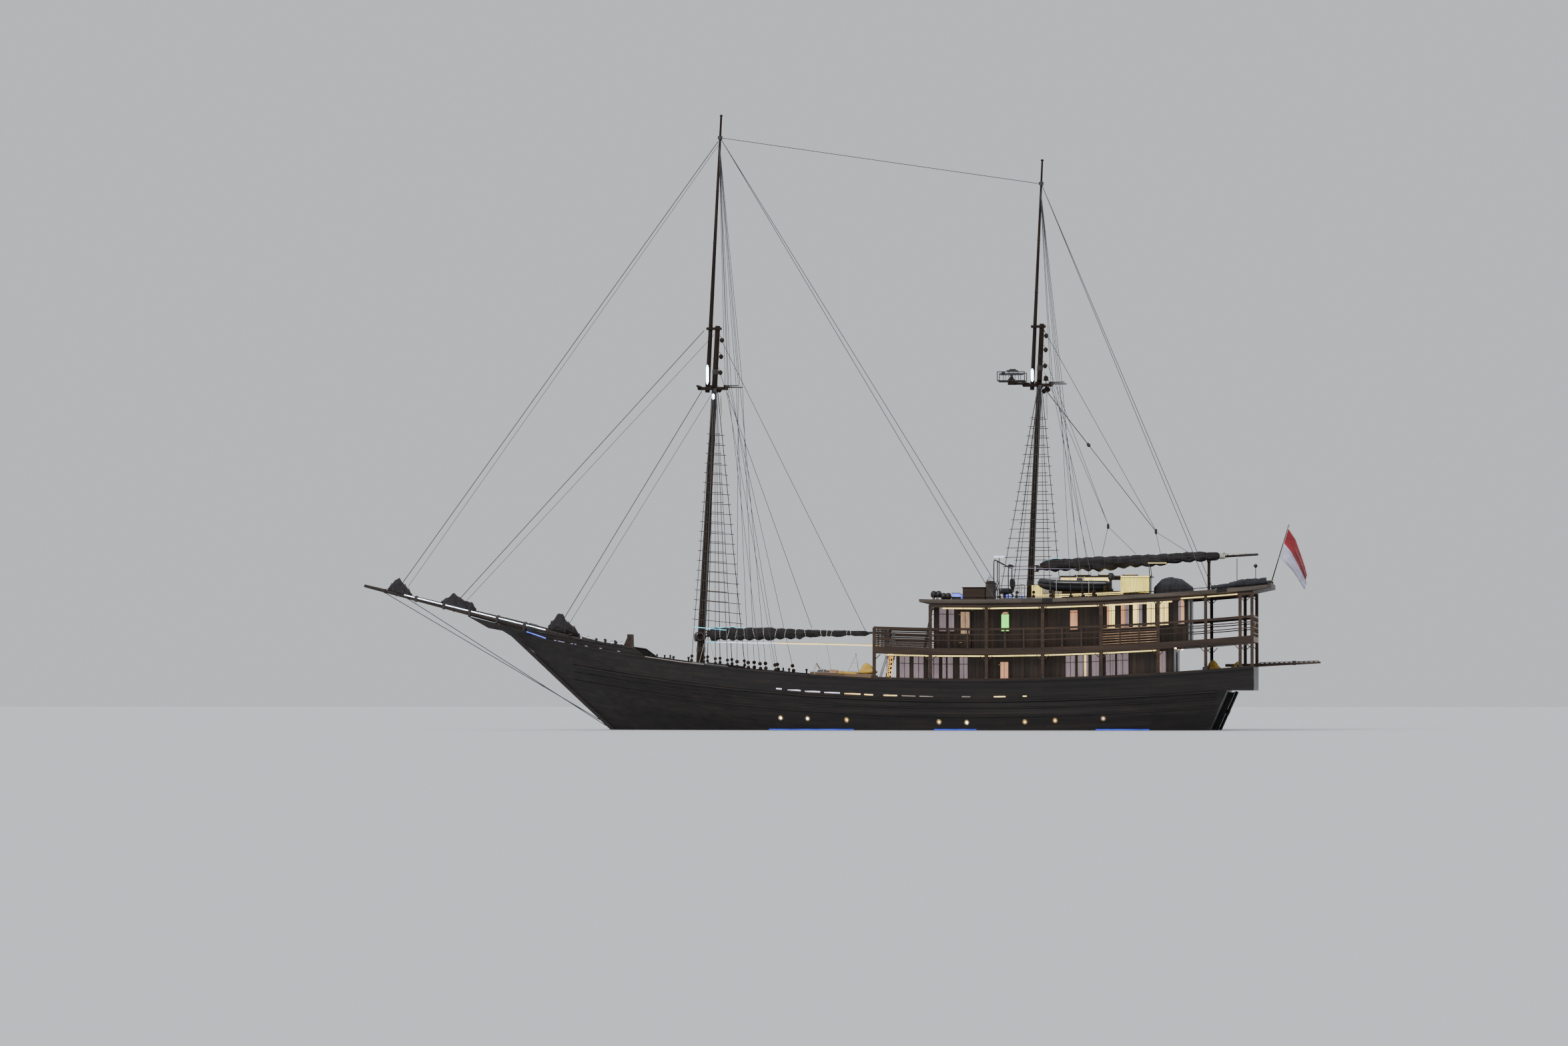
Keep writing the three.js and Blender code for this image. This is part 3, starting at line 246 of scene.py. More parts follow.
def hoop(centre, normal, radius, thick, sides=20, section=8):
    centre, normal = Vector(centre), Vector(normal)
    across, over = square_to(normal)
    way = normal.normalized()
    points, faces = [], []
    for turn in circle(sides):
        spot = centre + radius * (math.cos(turn) * across + math.sin(turn) * over)
        out = (spot - centre).normalized()
        points += [spot + thick * (math.cos(t) * out + math.sin(t) * way) for t in circle(section)]
    for i in range(sides):
        for k in range(section):
            a, b = i * section + k, i * section + (k + 1) % section
            faces.append((a, b, (b + section) % len(points), (a + section) % len(points)))
    return points, faces


def plate(outline, shift):
    size = len(outline)
    faces = [tuple(range(size)), tuple(reversed(range(size, 2 * size)))]
    faces += [(i, (i + 1) % size, (i + 1) % size + size, i + size) for i in range(size)]
    return outline + [p + shift for p in outline], faces


print("a tube with 8 sides and 2 rings has", len(tube([(0, 0, 0), (1, 0, 0)], 0.1)[0]), "points")

# %% [markdown]
# A piece is several shapes in one mesh. Its edges get a small bevel, because a real edge catches the light,
# and it rides on the body that carries it. Most pieces of a ship come in pairs, so the starboard one mirrors
# the port one. Cloth gets a thickness, and faces that meet at less than the given angle are shaded as one
# round face.

# %% Pieces


def mirrored(shapes):
    return [([at(p[0], -p[1], p[2]) for p in points], [tuple(reversed(f)) for f in faces])
            for points, faces in shapes]


def piece(name, shapes, finish, body="ship", bevel=0.0, smooth=40, rounds=0, thick=0.0):
    points, faces = [], []
    for some_points, some_faces in shapes:
        first = len(points)
        points += [tuple(p) for p in some_points]
        faces += [tuple(first + i for i in face) for face in some_faces]
    mesh = bpy.data.meshes.new(name)
    mesh.from_pydata(points, [], faces)
    mesh.validate()
    made = bpy.data.objects.new(name, mesh)
    bpy.context.scene.collection.objects.link(made)
    mesh.materials.append(finish)
    if rounds:
        made.modifiers.new("rounds", "SUBSURF").levels = rounds
        made.modifiers["rounds"].render_levels = rounds
    if bevel:
        edge = made.modifiers.new("edge", "BEVEL")
        edge.width, edge.segments, edge.limit_method = bevel, 2, "ANGLE"
    if thick:
        made.modifiers.new("thick", "SOLIDIFY").thickness = thick
    if smooth:
        mesh.shade_smooth()
        if smooth < 180:
            mesh.set_sharp_from_angle(angle=math.radians(smooth))
    if body:
        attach(made, body)
    return made


def both_sides(name, shapes, finish, **how):
    piece(f"{name}_port", shapes, finish, **how)
    piece(f"{name}_starboard", mirrored(shapes), finish, **how)


print("pieces ride on a body each, the ship if nothing else is said")

# %% [markdown]
# A finish is a small web of shader nodes. Grain is noise stretched along the wood. Boards are a brick
# pattern, with rows for the boards and thin mortar for the seams, and the pattern is laid flat on a deck,
# upright on a wall, or along the curve of the sheer on the hull. Everything is measured in metres on the ship
# itself.

# %% Nodes for finishes


def node(tree, kind, settings=None, values=None):
    made = tree.nodes.new("ShaderNode" + kind)
    for name, value in (settings or {}).items():
        setattr(made, name, value)
    for name, value in (values or {}).items():
        if isinstance(value, bpy.types.NodeSocket):
            tree.links.new(value, made.inputs[name])
        else:
            made.inputs[name].default_value = value
    return made


def surface(name, rough, metal=0.0, coat=0.0, slot=None, shine=0.5):
    finish = bpy.data.materials.new(name)
    finish.use_nodes = True
    shader = finish.node_tree.nodes["Principled BSDF"]
    for part, value in (("Roughness", rough), ("Metallic", metal), ("Coat Weight", coat),
                        ("Specular IOR Level", shine)):
        shader.inputs[part].default_value = value
    if slot:
        finish["record_slot"] = slot
    return finish, finish.node_tree, shader, node(finish.node_tree, "TexCoord").outputs["Object"]


def ramp(tree, factor, dark, light, low=0.3, high=0.7):
    made = node(tree, "ValToRGB", values={"Fac": factor})
    first, last = made.color_ramp.elements
    first.position, first.color = low, (*dark, 1)
    last.position, last.color = high, (*light, 1)
    return made.outputs["Color"]


def stretched_noise(tree, place, stretch, scale, detail=6.0):
    along = node(tree, "Mapping", values={"Vector": place, "Scale": stretch}).outputs["Vector"]
    values = {"Vector": along, "Scale": scale, "Detail": detail, "Roughness": 0.6}
    return node(tree, "TexNoise", values=values).outputs["Fac"]


def maths(tree, what, a, b, c=0.0):
    made = node(tree, "Math", {"operation": what}, dict(enumerate((a, b, c))))
    return made.outputs["Value"]


def lay_boards(tree, place, lay):
    x, y, z = node(tree, "SeparateXYZ", values={"Vector": place}).outputs
    if lay == "deck":
        first, second = x, y
    elif lay == "wall":
        first, second = z, maths(tree, "ADD", x, y)
    else:
        off = maths(tree, "SUBTRACT", x, LOW_X)
        ahead = maths(tree, "GREATER_THAN", off, 0.0)
        steep = maths(tree, "MULTIPLY_ADD", ahead, RISE_FORE - RISE_AFT, RISE_AFT)
        curve = maths(tree, "MULTIPLY", steep, maths(tree, "MULTIPLY", off, off))
        first, second = x, maths(tree, "SUBTRACT", z, curve)
    return node(tree, "CombineXYZ", values={"X": first, "Y": second}).outputs["Vector"]


def bump(tree, shader, height, strength, distance):
    made = node(tree, "Bump", values={"Height": height, "Strength": strength, "Distance": distance})
    tree.links.new(made.outputs["Normal"], shader.inputs["Normal"])


print("node helpers are ready")

# %% [markdown]
# Four recipes cover the whole ship. Timber has grain, boards and worn patches. Cloth has a weave, creases
# whose hollows are darkened with painted shade, and a soft sheen. Metal is cast and uneven. A glow is a lit
# pane, strip or lamp, brighter in some places than others, and in a few places painted light on parts that
# are no lamps.

# %% Recipes


def timber(name, dark, light, rough, stretch, lay=None, board=None, seam=0.003, coat=0.0, slot=None,
           shine=0.3):
    finish, tree, shader, place = surface(name, rough, coat=coat, slot=slot, shine=shine)
    grain = height = stretched_noise(tree, place, stretch, 9.0)
    colour = ramp(tree, grain, dark, light)
    if lay:
        white, grey, black = [(c, c, c, 1) for c in (1, 0.6, 0.12)]
        brick = node(tree, "TexBrick", {"offset": 0.37, "offset_frequency": 2}, {
            "Vector": lay_boards(tree, place, lay), "Color1": white, "Color2": grey, "Mortar": black,
            "Scale": 1.0, "Mortar Size": seam, "Mortar Smooth": 0.2, "Bias": 0.0, "Brick Width": board[0],
            "Row Height": board[1]})
        colour = node(tree, "Mix", {"data_type": "RGBA", "blend_type": "MULTIPLY"},
                      {0: 1.0, 6: colour, 7: brick.outputs["Color"]}).outputs[2]
        height = maths(tree, "SUBTRACT", maths(tree, "MULTIPLY", grain, 0.25), brick.outputs["Fac"])
    tree.links.new(colour, shader.inputs["Base Color"])
    worn = stretched_noise(tree, place, (1, 1, 1), 1.7, 4.0)
    tree.links.new(maths(tree, "MULTIPLY_ADD", worn, 0.4, rough - 0.2), shader.inputs["Roughness"])
    bump(tree, shader, height, 0.6, 0.004)
    return finish


def cloth(name, dark, light, rough=0.9, threads=220.0, crease=2.5, sheen=0.3, slot=None):
    finish, tree, shader, place = surface(name, rough, slot=slot)
    shader.inputs["Sheen Weight"].default_value = sheen
    fold = stretched_noise(tree, place, (1, 1, 1), crease, 5.0)
    # The fold noise colours the cloth as well as denting it, so the creases' hollows are darker: painted shade.
    tree.links.new(ramp(tree, fold, dark, light), shader.inputs["Base Color"])
    weave = {"Vector": place, "Scale": threads, "Distortion": 0.6}
    warp, weft = [node(tree, "TexWave", {"bands_direction": way}, weave).outputs["Fac"] for way in ("X", "Z")]
    bump(tree, shader, maths(tree, "MULTIPLY_ADD", fold, 6.0, maths(tree, "ADD", warp, weft)), 0.5, 0.002)
    return finish


def metal(name, dark, light, rough, shine=1.0, slot="wire_steel"):
    finish, tree, shader, place = surface(name, rough, metal=shine, slot=slot)
    cast = stretched_noise(tree, place, (1, 1, 1), 14.0)
    tree.links.new(ramp(tree, cast, dark, light), shader.inputs["Base Color"])
    tree.links.new(maths(tree, "MULTIPLY_ADD", cast, 0.3, rough - 0.15), shader.inputs["Roughness"])
    bump(tree, shader, cast, 0.25, 0.001)
    return finish


def glow(name, dim, bright, strength, scale=3.0, folds=None):
    finish, tree, shader, place = surface(name, 0.4)
    shader.inputs["Base Color"].default_value = (*[0.3 * c for c in bright], 1)
    shader.inputs["Emission Strength"].default_value = strength
    light = stretched_noise(tree, place, (1, 1, 0.3), scale, 3.0)
    if folds:
        wave = node(tree, "TexWave", {"bands_direction": "X"},
                    {"Vector": place, "Scale": folds, "Distortion": 1.5, "Detail": 1.0}).outputs["Fac"]
        light = maths(tree, "MULTIPLY_ADD", wave, 0.4, maths(tree, "MULTIPLY", light, 0.6))
    tree.links.new(ramp(tree, light, dim, bright, 0.25, 0.65), shader.inputs["Emission Color"])
    return finish


print("recipes: timber, cloth, metal and glow")

# %% [markdown]
# The ship's timber is almost black outside, and dark brown where it is varnished. Decks are paler. Canvas is
# painted nearly black, painted shade for the sails' dark shapes against the evening sky; ropes are pale or
# tarred, and only the screws and a few small fittings are bright.

# %% Finishes of wood, cloth and metal
ALONG_SHIP, UPRIGHT = (0.08, 1, 1), (1, 1, 0.08)
hull_paint = timber("hull_paint", (0.006, 0.005, 0.005), (0.020, 0.014, 0.012), 0.5, ALONG_SHIP, "hull",
                    (2.6, 0.115), 0.004, 0.06, "hull_paint")
deck_teak = timber("deck_teak", (0.16, 0.10, 0.06), (0.33, 0.23, 0.14), 0.62, ALONG_SHIP, "deck",
                   (2.4, 0.07), 0.004, slot="deck_teak")
wall_timber = timber("wall_timber", (0.020, 0.012, 0.008), (0.065, 0.037, 0.021), 0.45, UPRIGHT, "wall",
                     (4.0, 0.11), 0.003, 0.15, "dark_timber")
frame_timber = timber("frame_timber", (0.022, 0.013, 0.009), (0.06, 0.036, 0.022), 0.5, ALONG_SHIP,
                      slot="dark_timber")
roof_timber = timber("roof_timber", (0.05, 0.04, 0.033), (0.12, 0.095, 0.075), 0.6, ALONG_SHIP, "deck",
                     (3.0, 0.09), 0.003, slot="dark_timber")
spar_timber = timber("spar_timber", (0.008, 0.005, 0.004), (0.030, 0.018, 0.012), 0.7, UPRIGHT,
                     slot="spar_timber", shine=0.15)
bowsprit_timber = timber("bowsprit_timber", (0.010, 0.007, 0.006), (0.034, 0.022, 0.016), 0.5, ALONG_SHIP,
                         coat=0.05, slot="spar_timber")
# Canvas colour is painted shade: near-black as the sails stand dark against the evening sky, their own colour
# not known.
sail_canvas = cloth("sail_canvas", (0.008, 0.007, 0.008), (0.030, 0.026, 0.028), crease=6.0, sheen=0.03,
                    slot="sail_canvas")
pale_rope = cloth("pale_rope", (0.45, 0.43, 0.38), (0.75, 0.72, 0.66), threads=400.0, slot="wire_steel")
tarred_rope = cloth("tarred_rope", (0.015, 0.012, 0.010), (0.05, 0.04, 0.035), threads=400.0,
                    slot="wire_steel")
wire_steel = metal("wire_steel", (0.03, 0.03, 0.034), (0.085, 0.085, 0.092), 0.55, 0.6)
dark_iron = metal("dark_iron", (0.02, 0.02, 0.022), (0.07, 0.068, 0.066), 0.5, 0.8)
bright_steel = metal("bright_steel", (0.45, 0.46, 0.48), (0.62, 0.63, 0.65), 0.3)
screw_bronze = metal("screw_bronze", (0.32, 0.20, 0.08), (0.55, 0.38, 0.18), 0.35, slot="screw_bronze")
# The radar case is painted near-black, painted shade for its dark shape against the sky.
radar_case = metal("radar_case", (0.020, 0.021, 0.025), (0.045, 0.047, 0.055), 0.5, 0.0, "radar_case")
awning_cloth = cloth("awning_cloth", (0.42, 0.42, 0.42), (0.62, 0.62, 0.60), threads=150.0,
                     slot="awning_cloth")
tender_skin = cloth("tender_skin", (0.018, 0.019, 0.022), (0.045, 0.046, 0.05), 0.6, 300.0, sheen=0.0,
                    slot="boat_skin")
ensign_red = cloth("ensign_red", (0.16, 0.010, 0.016), (0.36, 0.025, 0.035), threads=300.0,
                   slot="ensign_cloth")
# The white band's colour is grey-lilac: painted shade and the evening light's tint on white cloth.
ensign_white = cloth("ensign_white", (0.36, 0.35, 0.48), (0.62, 0.61, 0.76), threads=300.0,
                     slot="ensign_cloth")
bag_cloth = cloth("bag_cloth", (0.62, 0.36, 0.04), (0.95, 0.64, 0.12), 0.9, 170.0, 5.0, slot="bag_cloth")
pad_cloth = cloth("pad_cloth", (0.35, 0.33, 0.33), (0.58, 0.55, 0.54), 0.9, 170.0, 5.0, slot="bag_cloth")
tan_cloth = cloth("tan_cloth", (0.42, 0.22, 0.13), (0.66, 0.40, 0.26), 0.9, 170.0, 5.0, slot="bag_cloth")
# The cover cloth is painted near-black like the canvas: painted shade for its dark shape in the evening light.
cover_cloth = cloth("cover_cloth", (0.010, 0.011, 0.015), (0.036, 0.038, 0.046), 0.9, 150.0, 4.0, 0.05,
                    "sail_canvas")
dark_glass = surface("dark_glass", 0.08, coat=0.5)[0]
print("finishes of wood, cloth, metal and glass:", len(bpy.data.materials) - 1)

# %% [markdown]
# The lamps are warm under the decks and cold blue-white on the bowsprit and the masts, and the windows glow
# through curtains: grey-lilac, amber, yellow-white and one green. Last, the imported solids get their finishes.

# %% Lamps, panes and the solids' finishes
warm_lamp = glow("warm_lamp", (1.0, 0.62, 0.24), (1.0, 0.80, 0.46), 7.0)
cold_lamp = glow("cold_lamp", (0.45, 0.66, 1.0), (0.80, 0.90, 1.0), 6.0)
cyan_flood = glow("cyan_flood", (0.55, 0.92, 1.0), (0.85, 1.0, 1.0), 14.0)
grey_pane = glow("grey_pane", (0.09, 0.06, 0.08), (0.44, 0.35, 0.38), 0.7, folds=11.0)
warm_pane = glow("warm_pane", (0.60, 0.27, 0.05), (1.0, 0.76, 0.26), 1.8, folds=12.0)
amber_pane = glow("amber_pane", (0.50, 0.20, 0.09), (0.80, 0.42, 0.24), 1.1)
lit_board = glow("lit_board", (0.22, 0.12, 0.07), (0.62, 0.40, 0.24), 0.8, 6.0)
green_pane = glow("green_pane", (0.06, 0.50, 0.06), (0.22, 0.95, 0.14), 2.4)
lit_wall = glow("lit_wall", (0.50, 0.34, 0.08), (1.0, 0.84, 0.32), 2.2, folds=7.0)
lit_curtain_cloth = glow("lit_curtain_cloth", (0.30, 0.20, 0.02), (1.0, 0.86, 0.22), 1.5, folds=8.5)
cyan_lamp = glow("cyan_lamp", (0.05, 0.40, 0.60), (0.20, 0.80, 0.95), 1.8)
blue_halo = glow("blue_halo", (0.010, 0.015, 0.20), (0.02, 0.06, 0.75), 1.5, 2.0)
lilac_lamp = glow("lilac_lamp", (0.40, 0.38, 0.62), (0.80, 0.78, 1.0), 2.0)
yellow_lamp = glow("yellow_lamp", (0.80, 0.50, 0.14), (1.0, 0.78, 0.32), 2.4)
blue_lamp = glow("blue_lamp", (0.04, 0.06, 0.62), (0.16, 0.22, 1.0), 1.7)
lilac_slit = glow("lilac_slit", (0.20, 0.16, 0.26), (0.46, 0.40, 0.58), 1.0)
# This orange glow is painted light on the stair screen, which is no lamp.
orange_painted_light = glow("orange_painted_light", (0.75, 0.30, 0.05), (1.0, 0.62, 0.18), 2.2)
# This dim glow lights the after freeing ports and also paints the highlight along the rail near the foremast.
dim_lamp_and_highlight = glow("dim_lamp_and_highlight", (0.16, 0.13, 0.11), (0.36, 0.30, 0.26), 0.9)
SOLID_FINISHES = {
    hull_paint: ["hull", "backbone", "bulwark_port", "bulwark_starboard", "stern_counter", "rudder"],
    deck_teak: ["main_deck", "upper_deck"],
    wall_timber: [n for n in solids if "_house_" in n or "_door_" in n] + ["skylight_house"],
    frame_timber: ["gallery_port", "gallery_starboard", "bow_bitts", "fore_stair", "gangway"],
    roof_timber: ["roof"],
    spar_timber: ["foremast", "fore_topmast", "fore_crosstrees", "mainmast", "main_topmast",
                  "main_crosstrees", "boom_crutch", "ensign_staff"],
    bowsprit_timber: ["bowsprit", "fore_boom", "main_boom"],
    wire_steel: ["shaft_port", "shaft_starboard", "fore_shrouds_port", "fore_shrouds_starboard",
                 "main_shrouds_port", "main_shrouds_starboard", "fore_head_stays", "main_head_stays"],
    screw_bronze: ["propeller_port", "propeller_starboard"],
    radar_case: ["radar_scanner"],
}
for finish, names in SOLID_FINISHES.items():
    for name in names:
        if not solids[name].material_slots:
            solids[name].data.materials.append(finish)
        solids[name].material_slots[0].material = finish
print("finishes:", len(bpy.data.materials))

# %% [markdown]
# Long wales run along the hull under the rail, and protect it alongside a quay. Each follows the planking, so
# its path is found by looking at the solid hull from the side at one height under the sheer.

# %% Wales along the hull
WALES = [(-0.53, 0.030), (-0.70, 0.020), (-0.90, 0.024)]
WALE_FORE, WALE_STEP, WALE_STEPS = 8.35, 0.2475, 66
wales = []
for level, thick in WALES:
    spots = [hull_side(x, sheer(x) + level) for x in [WALE_FORE - WALE_STEP * i for i in range(WALE_STEPS)]]
    wales.append(tube([spot + normal * 0.3 * thick for spot, normal in spots if spot], thick, 6))
both_sides("wales", wales, hull_paint, smooth=50)
print("wales on each side:", len(wales))

# %% [markdown]
# Round ports with metal rims let light out of the hull just above the water. Lamps under the water turn the
# hull's foot deep blue in three places. Behind the rails the freeing ports, long slots that drain the deck,
# are lit from inside: lilac forward, yellow amidships, and dim where no lamp is near.

# %% Ports, underwater lamps and freeing ports
PORTS = [(2.978, 0.308, cold_lamp), (2.300, 0.292, cold_lamp), (1.326, 0.259, yellow_lamp),
         (-0.956, 0.211, yellow_lamp), (-1.638, 0.195, cold_lamp), (-3.066, 0.212, yellow_lamp),
         (-3.804, 0.246, yellow_lamp), (-4.982, 0.295, lilac_lamp)]
RIM, GLASS = 0.044, 0.032
rims, panes = [], {yellow_lamp: [], cold_lamp: [], lilac_lamp: []}
for x, z, lamp in PORTS:
    spot, normal = hull_side(x, z)
    rims += [hoop(spot + normal * out, normal, reach, thick)
             for out, reach, thick in ((0.004, RIM, 0.012), (0.002, RIM + 0.018, 0.007))]
    rims.append(turned(spot + above(RIM + 0.03), normal, (0.004, 0.014), 0.010, 8))
    panes[lamp].append(turned(spot, normal, (-0.004, 0.006), GLASS, 20))
both_sides("port_rims", rims, screw_bronze)
for lamp, shapes in panes.items():
    both_sides("port_glass_" + lamp.name, shapes, lamp)
HALOS = [(3.29, 1.16), (-0.83, -1.87), (-4.79, -6.10)]
halos = []
for fore, aft in HALOS:
    spots = [hull_side(x, 0.022) for x in spread(fore, aft, 12)]
    halos.append(tube([spot + normal * 0.002 for spot, normal in spots], 0.014))
both_sides("underwater_lamps", halos, blue_halo)

FREEING_PORTS = {
    lilac_lamp: [(3.09, 2.93), (2.80, 2.455), (2.37, 1.97), (1.89, 1.48)],
    yellow_lamp: [(1.39, 0.97), (0.90, 0.66), (0.425, 0.065), (-2.29, -2.60), (-3.00, -3.12)],
    dim_lamp_and_highlight: [(-0.02, -0.39), (-0.46, -0.82), (-1.50, -1.74)],
}
for lamp, runs in FREEING_PORTS.items():
    slots = [[(x, deck_edge(x) - 0.05, sheer(x) - 0.42) for x in (fore - 0.012, aft + 0.012)]
             for fore, aft in runs]
    both_sides("freeing_port_" + lamp.name, [bar(*slot, 0.012, 0.028) for slot in slots], lamp)
print("round ports:", len(PORTS), "freeing ports:", sum(map(len, FREEING_PORTS.values())), "on each side")

# %% [markdown]
# Forward of the foremast the rail is raised by a thin board with a cap on short posts, and a little light
# shows through five slits in the board. Timber heads for belaying ropes stand along it and on the rail
# further aft, with two small lamps between them.

# %% The fore rail
RAIL_FORE, RAIL_AFT, RAIL_RISE, BOARD_HALF = 9.35, 6.49, 0.15, 0.008


def rail_spot(x, up):
    lean = STEM_RAKE * min(1.0, max(0.0, (x - 6.9) / (9.0 - 6.9)))
    return at(x + lean * 0.1, max(deck_edge(x) - 0.015, 0.09), sheer(x) + up)


places = spread(RAIL_AFT, RAIL_FORE, 12)
cap_path = [rail_spot(x, RAIL_RISE * min(1, i)) for i, x in enumerate(places)]
rail_parts = [tube(cap_path, 0.024, 6)]
rail_parts += [bar(rail_spot(x, 0.0), rail_spot(x, RAIL_RISE), 0.035, 0.05)
               for x in [RAIL_AFT + 0.5 + 0.42 * i for i in range(6)]]
for x in (8.35, 7.68, 7.45, 7.18, 5.69, 2.75):
    rail_parts.append(turned(rail_spot(x, RAIL_RISE if x > 6.9 else 0.0), (0, 0, 1), (0, 0.06, 0.075, 0.11),
                             [0.024, 0.022, 0.038, 0.030], 8))
both_sides("fore_rail", rail_parts, hull_paint, bevel=0.003)
board = []
for x, cap in zip(places, cap_path):
    low = rail_spot(x, -0.01).z
    board.append([at(cap.x, cap.y + off, z) for z, off in ((low, -BOARD_HALF), (low, BOARD_HALF),
                                                           (cap.z, BOARD_HALF), (cap.z, -BOARD_HALF))])
both_sides("fore_rail_board", [skin(board)], hull_paint)
SLITS = [(8.76, 8.49), (8.33, 8.19), (7.97, 7.90), (7.60, 7.54), (7.15, 7.08)]
both_sides("fore_rail_slits", [bar(*[rail_spot(x, 0.025) + at(0, 0.007, 0) for x in run], 0.010, 0.014)
                               for run in SLITS], lilac_slit)
cases, lenses = [], []
for x in (8.07, 7.30):
    spot = rail_spot(x, RAIL_RISE)
    cases += [turned(spot, (0, 0, 1), (0, 0.04), 0.014, 10),
              turned(spot, (0, 0, 1), (0.085, 0.095, 0.11), [0.028, 0.02, 0.006], 12)]
    lenses.append(turned(spot, (0, 0, 1), (0.04, 0.085), 0.012, 12))
both_sides("rail_lamp_cases", cases, dark_iron)
both_sides("rail_lamp_lenses", lenses, lilac_lamp)
print("fore rail length:", round(sum((b - a).length for a, b in zip(cap_path, cap_path[1:])), 2))

# %% [markdown]
# A solid cheek closes the corner between the stem and the bow planking. A thin facing board closes most of
# the gap between the sternpost and the rudder, and leaves the rudder free to turn. A dim glowing line along
# the rail near the foremast is a painted highlight, where the rail's cap catches the light, and a blue light
# line runs up the bow to the stem.

# %% Stem, sternpost, a painted highlight and a light line
CHEEK = [(10.30, 2.67), (9.60, 2.491), (8.95, 2.327), (8.80, 2.05), (9.40, 1.95), (10.0, 2.46)]
faces = [(0, 1, 2, 3, 4, 5), (11, 10, 9, 8, 7, 6)]
faces += [(i, i + 6, (i + 1) % 6 + 6, (i + 1) % 6) for i in range(6)]
points = [at(x, y, z) for y in (-0.06, 0.06) for x, z in CHEEK]
piece("stem_cheek", [(points, faces)], hull_paint, smooth=0, bevel=0.006)
facing = [at(STERN_FOOT - STERN_RAKE * z - 0.149, 0, z) for z in (-0.30, 0.965)]
piece("sternpost_facing", [bar(*facing, 0.10, 0.016)], hull_paint, bevel=0.003)
# This glowing line is a painted highlight: the rail's cap catching the light, drawn as a dim glow, not a lamp.
highlight_path = [(x, deck_edge(x) + 0.075, sheer(x) - 0.008) for x in (6.42, 6.1, 5.8, 5.5, 5.2, 4.9)]
both_sides("rail_edge_painted_highlight", [tube(highlight_path, 0.008, 6)], dim_lamp_and_highlight)
lit_bow = [at(9.58 - 0.10 * i, rail_spot(9.40 - 0.08 * i, 0).y + 0.018, 2.455 - 0.033 * i) for i in range(6)]
both_sides("bow_light", [tube(lit_bow, 0.015)], blue_lamp)
print("cheek, facing and two light lines on each side")

# %% [markdown]
# Masts and spars wear iron bands, rope windings and a round truck on top. A spar's line is given by one point
# and its lean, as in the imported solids, so a band slides to its place by height alone. Its girth shrinks
# evenly from foot to head.

# %% Mast bands and lamps
MASTS = {"foremast": (5.159, 2.619, -0.052, 0.105, 0.062, 1.15, 10.11),
         "fore_topmast": (5.023, 8.577, -0.05, 0.06, 0.027, 8.44, 15.367),
         "mainmast": (-3.131, 5.064, -0.0454, 0.092, 0.06, 0.81, 10.11),
         "main_topmast": (-3.118, 8.582, -0.0456, 0.054, 0.024, 8.46, 14.17)}


def mast_spot(mast, z, y=0.0):
    x, height, lean = MASTS[mast][:3]
    return at(x + lean * (z - height), y, z)


def mast_way(mast):
    return at(MASTS[mast][2], 0, 1)


def girth(mast, z):
    foot, head, low, high = MASTS[mast][3:]
    return foot + (head - foot) * (z - low) / (high - low)


def mast_hoop(mast, z, off, thick, sides=20):
    return hoop(mast_spot(mast, z), mast_way(mast), girth(mast, z) + off, thick, sides, 6)


BANDS = {"foremast": (2.9, 4.1, 5.3, 6.5, 7.7, 9.3), "mainmast": (4.5, 5.4, 6.5, 7.6, 9.3),
         "fore_topmast": (10.9, 12.2, 13.5), "main_topmast": (10.9, 12.2)}
bands = [mast_hoop(mast, z, 0.003, 0.010) for mast, levels in BANDS.items() for z in levels]
piece("mast_bands", bands, dark_iron)
windings = [hoop(mast_spot(mast, z + 0.018 * i), mast_way(mast), girth(mast, z) + 0.004, 0.010, 20, 6)
            for mast, z in (("foremast", 8.9), ("mainmast", 8.95), ("foremast", 1.95), ("mainmast", 3.6))
            for i in range(7)]
piece("mast_windings", windings, tarred_rope)
trucks = [turned(mast_spot(mast, top), mast_way(mast), (0, 0.012, 0.03, 0.045),
                 [0.03, 0.045, 0.04, 0.012], 14)
          for mast, top in (("fore_topmast", 15.367), ("main_topmast", 14.17))]
piece("mast_trucks", trucks, spar_timber, smooth=180)

FLOODS = [("fore_topmast", 8.88, 0.24), ("foremast", 8.33, 0.07), ("main_topmast", 8.82, 0.16)]
LAMP_OUT = 0.15
cases, lenses = [], []
for mast, z, half in FLOODS:
    for side in (1, -1):
        spot = mast_spot(mast, z, side * LAMP_OUT)
        cases.append(turned(spot, (0, 0, half), (-1.15, -0.85, 0.85, 1.15), [0.015, 0.04, 0.04, 0.015], 12))
        cases += [bar(mast_spot(mast, z + off), mast_spot(mast, z + off, side * LAMP_OUT), 0.03, 0.012)
                  for off in (-0.6 * half, 0.6 * half)]
        lenses.append(turned(spot + at(0, side * 0.03, 0), (0, 0, half), (-1, -0.7, 0.7, 1),
                             [0.012, 0.032, 0.032, 0.012], 10))
piece("flood_cases", cases, dark_iron, smooth=180)
piece("flood_lenses", lenses, cyan_flood, smooth=180)
print("bands:", len(bands), "floodlights:", len(lenses))

# %% [markdown]
# The shrouds of a mast carry battens to climb by, the ratlines, and stand on pairs of deadeyes with lanyards
# rove between them. A fan of four shrouds is four straight lines from a foot on the rail to the head of the
# mast, so every batten and deadeye is found by a share of the way up.

# %% Ratlines and deadeyes
RATLINE_STEP, RATLINE_TOP, HEAD_GAP, EYES_UP = 0.25, 0.86, 0.024, (0.06, 0.17)


def roof_edge(x):
    return gallery_y(x) + 0.02


FANS = {"fore": ((5.226, 4.911, 4.612, 4.297), at(4.830, 0.1565, 8.535), 0.0, deck_edge, 1.11),
        "main": ((-2.44, -2.86, -3.28, -3.70), at(-3.3115, 0.1565, 8.575), ROOF, roof_edge, 0.36)}


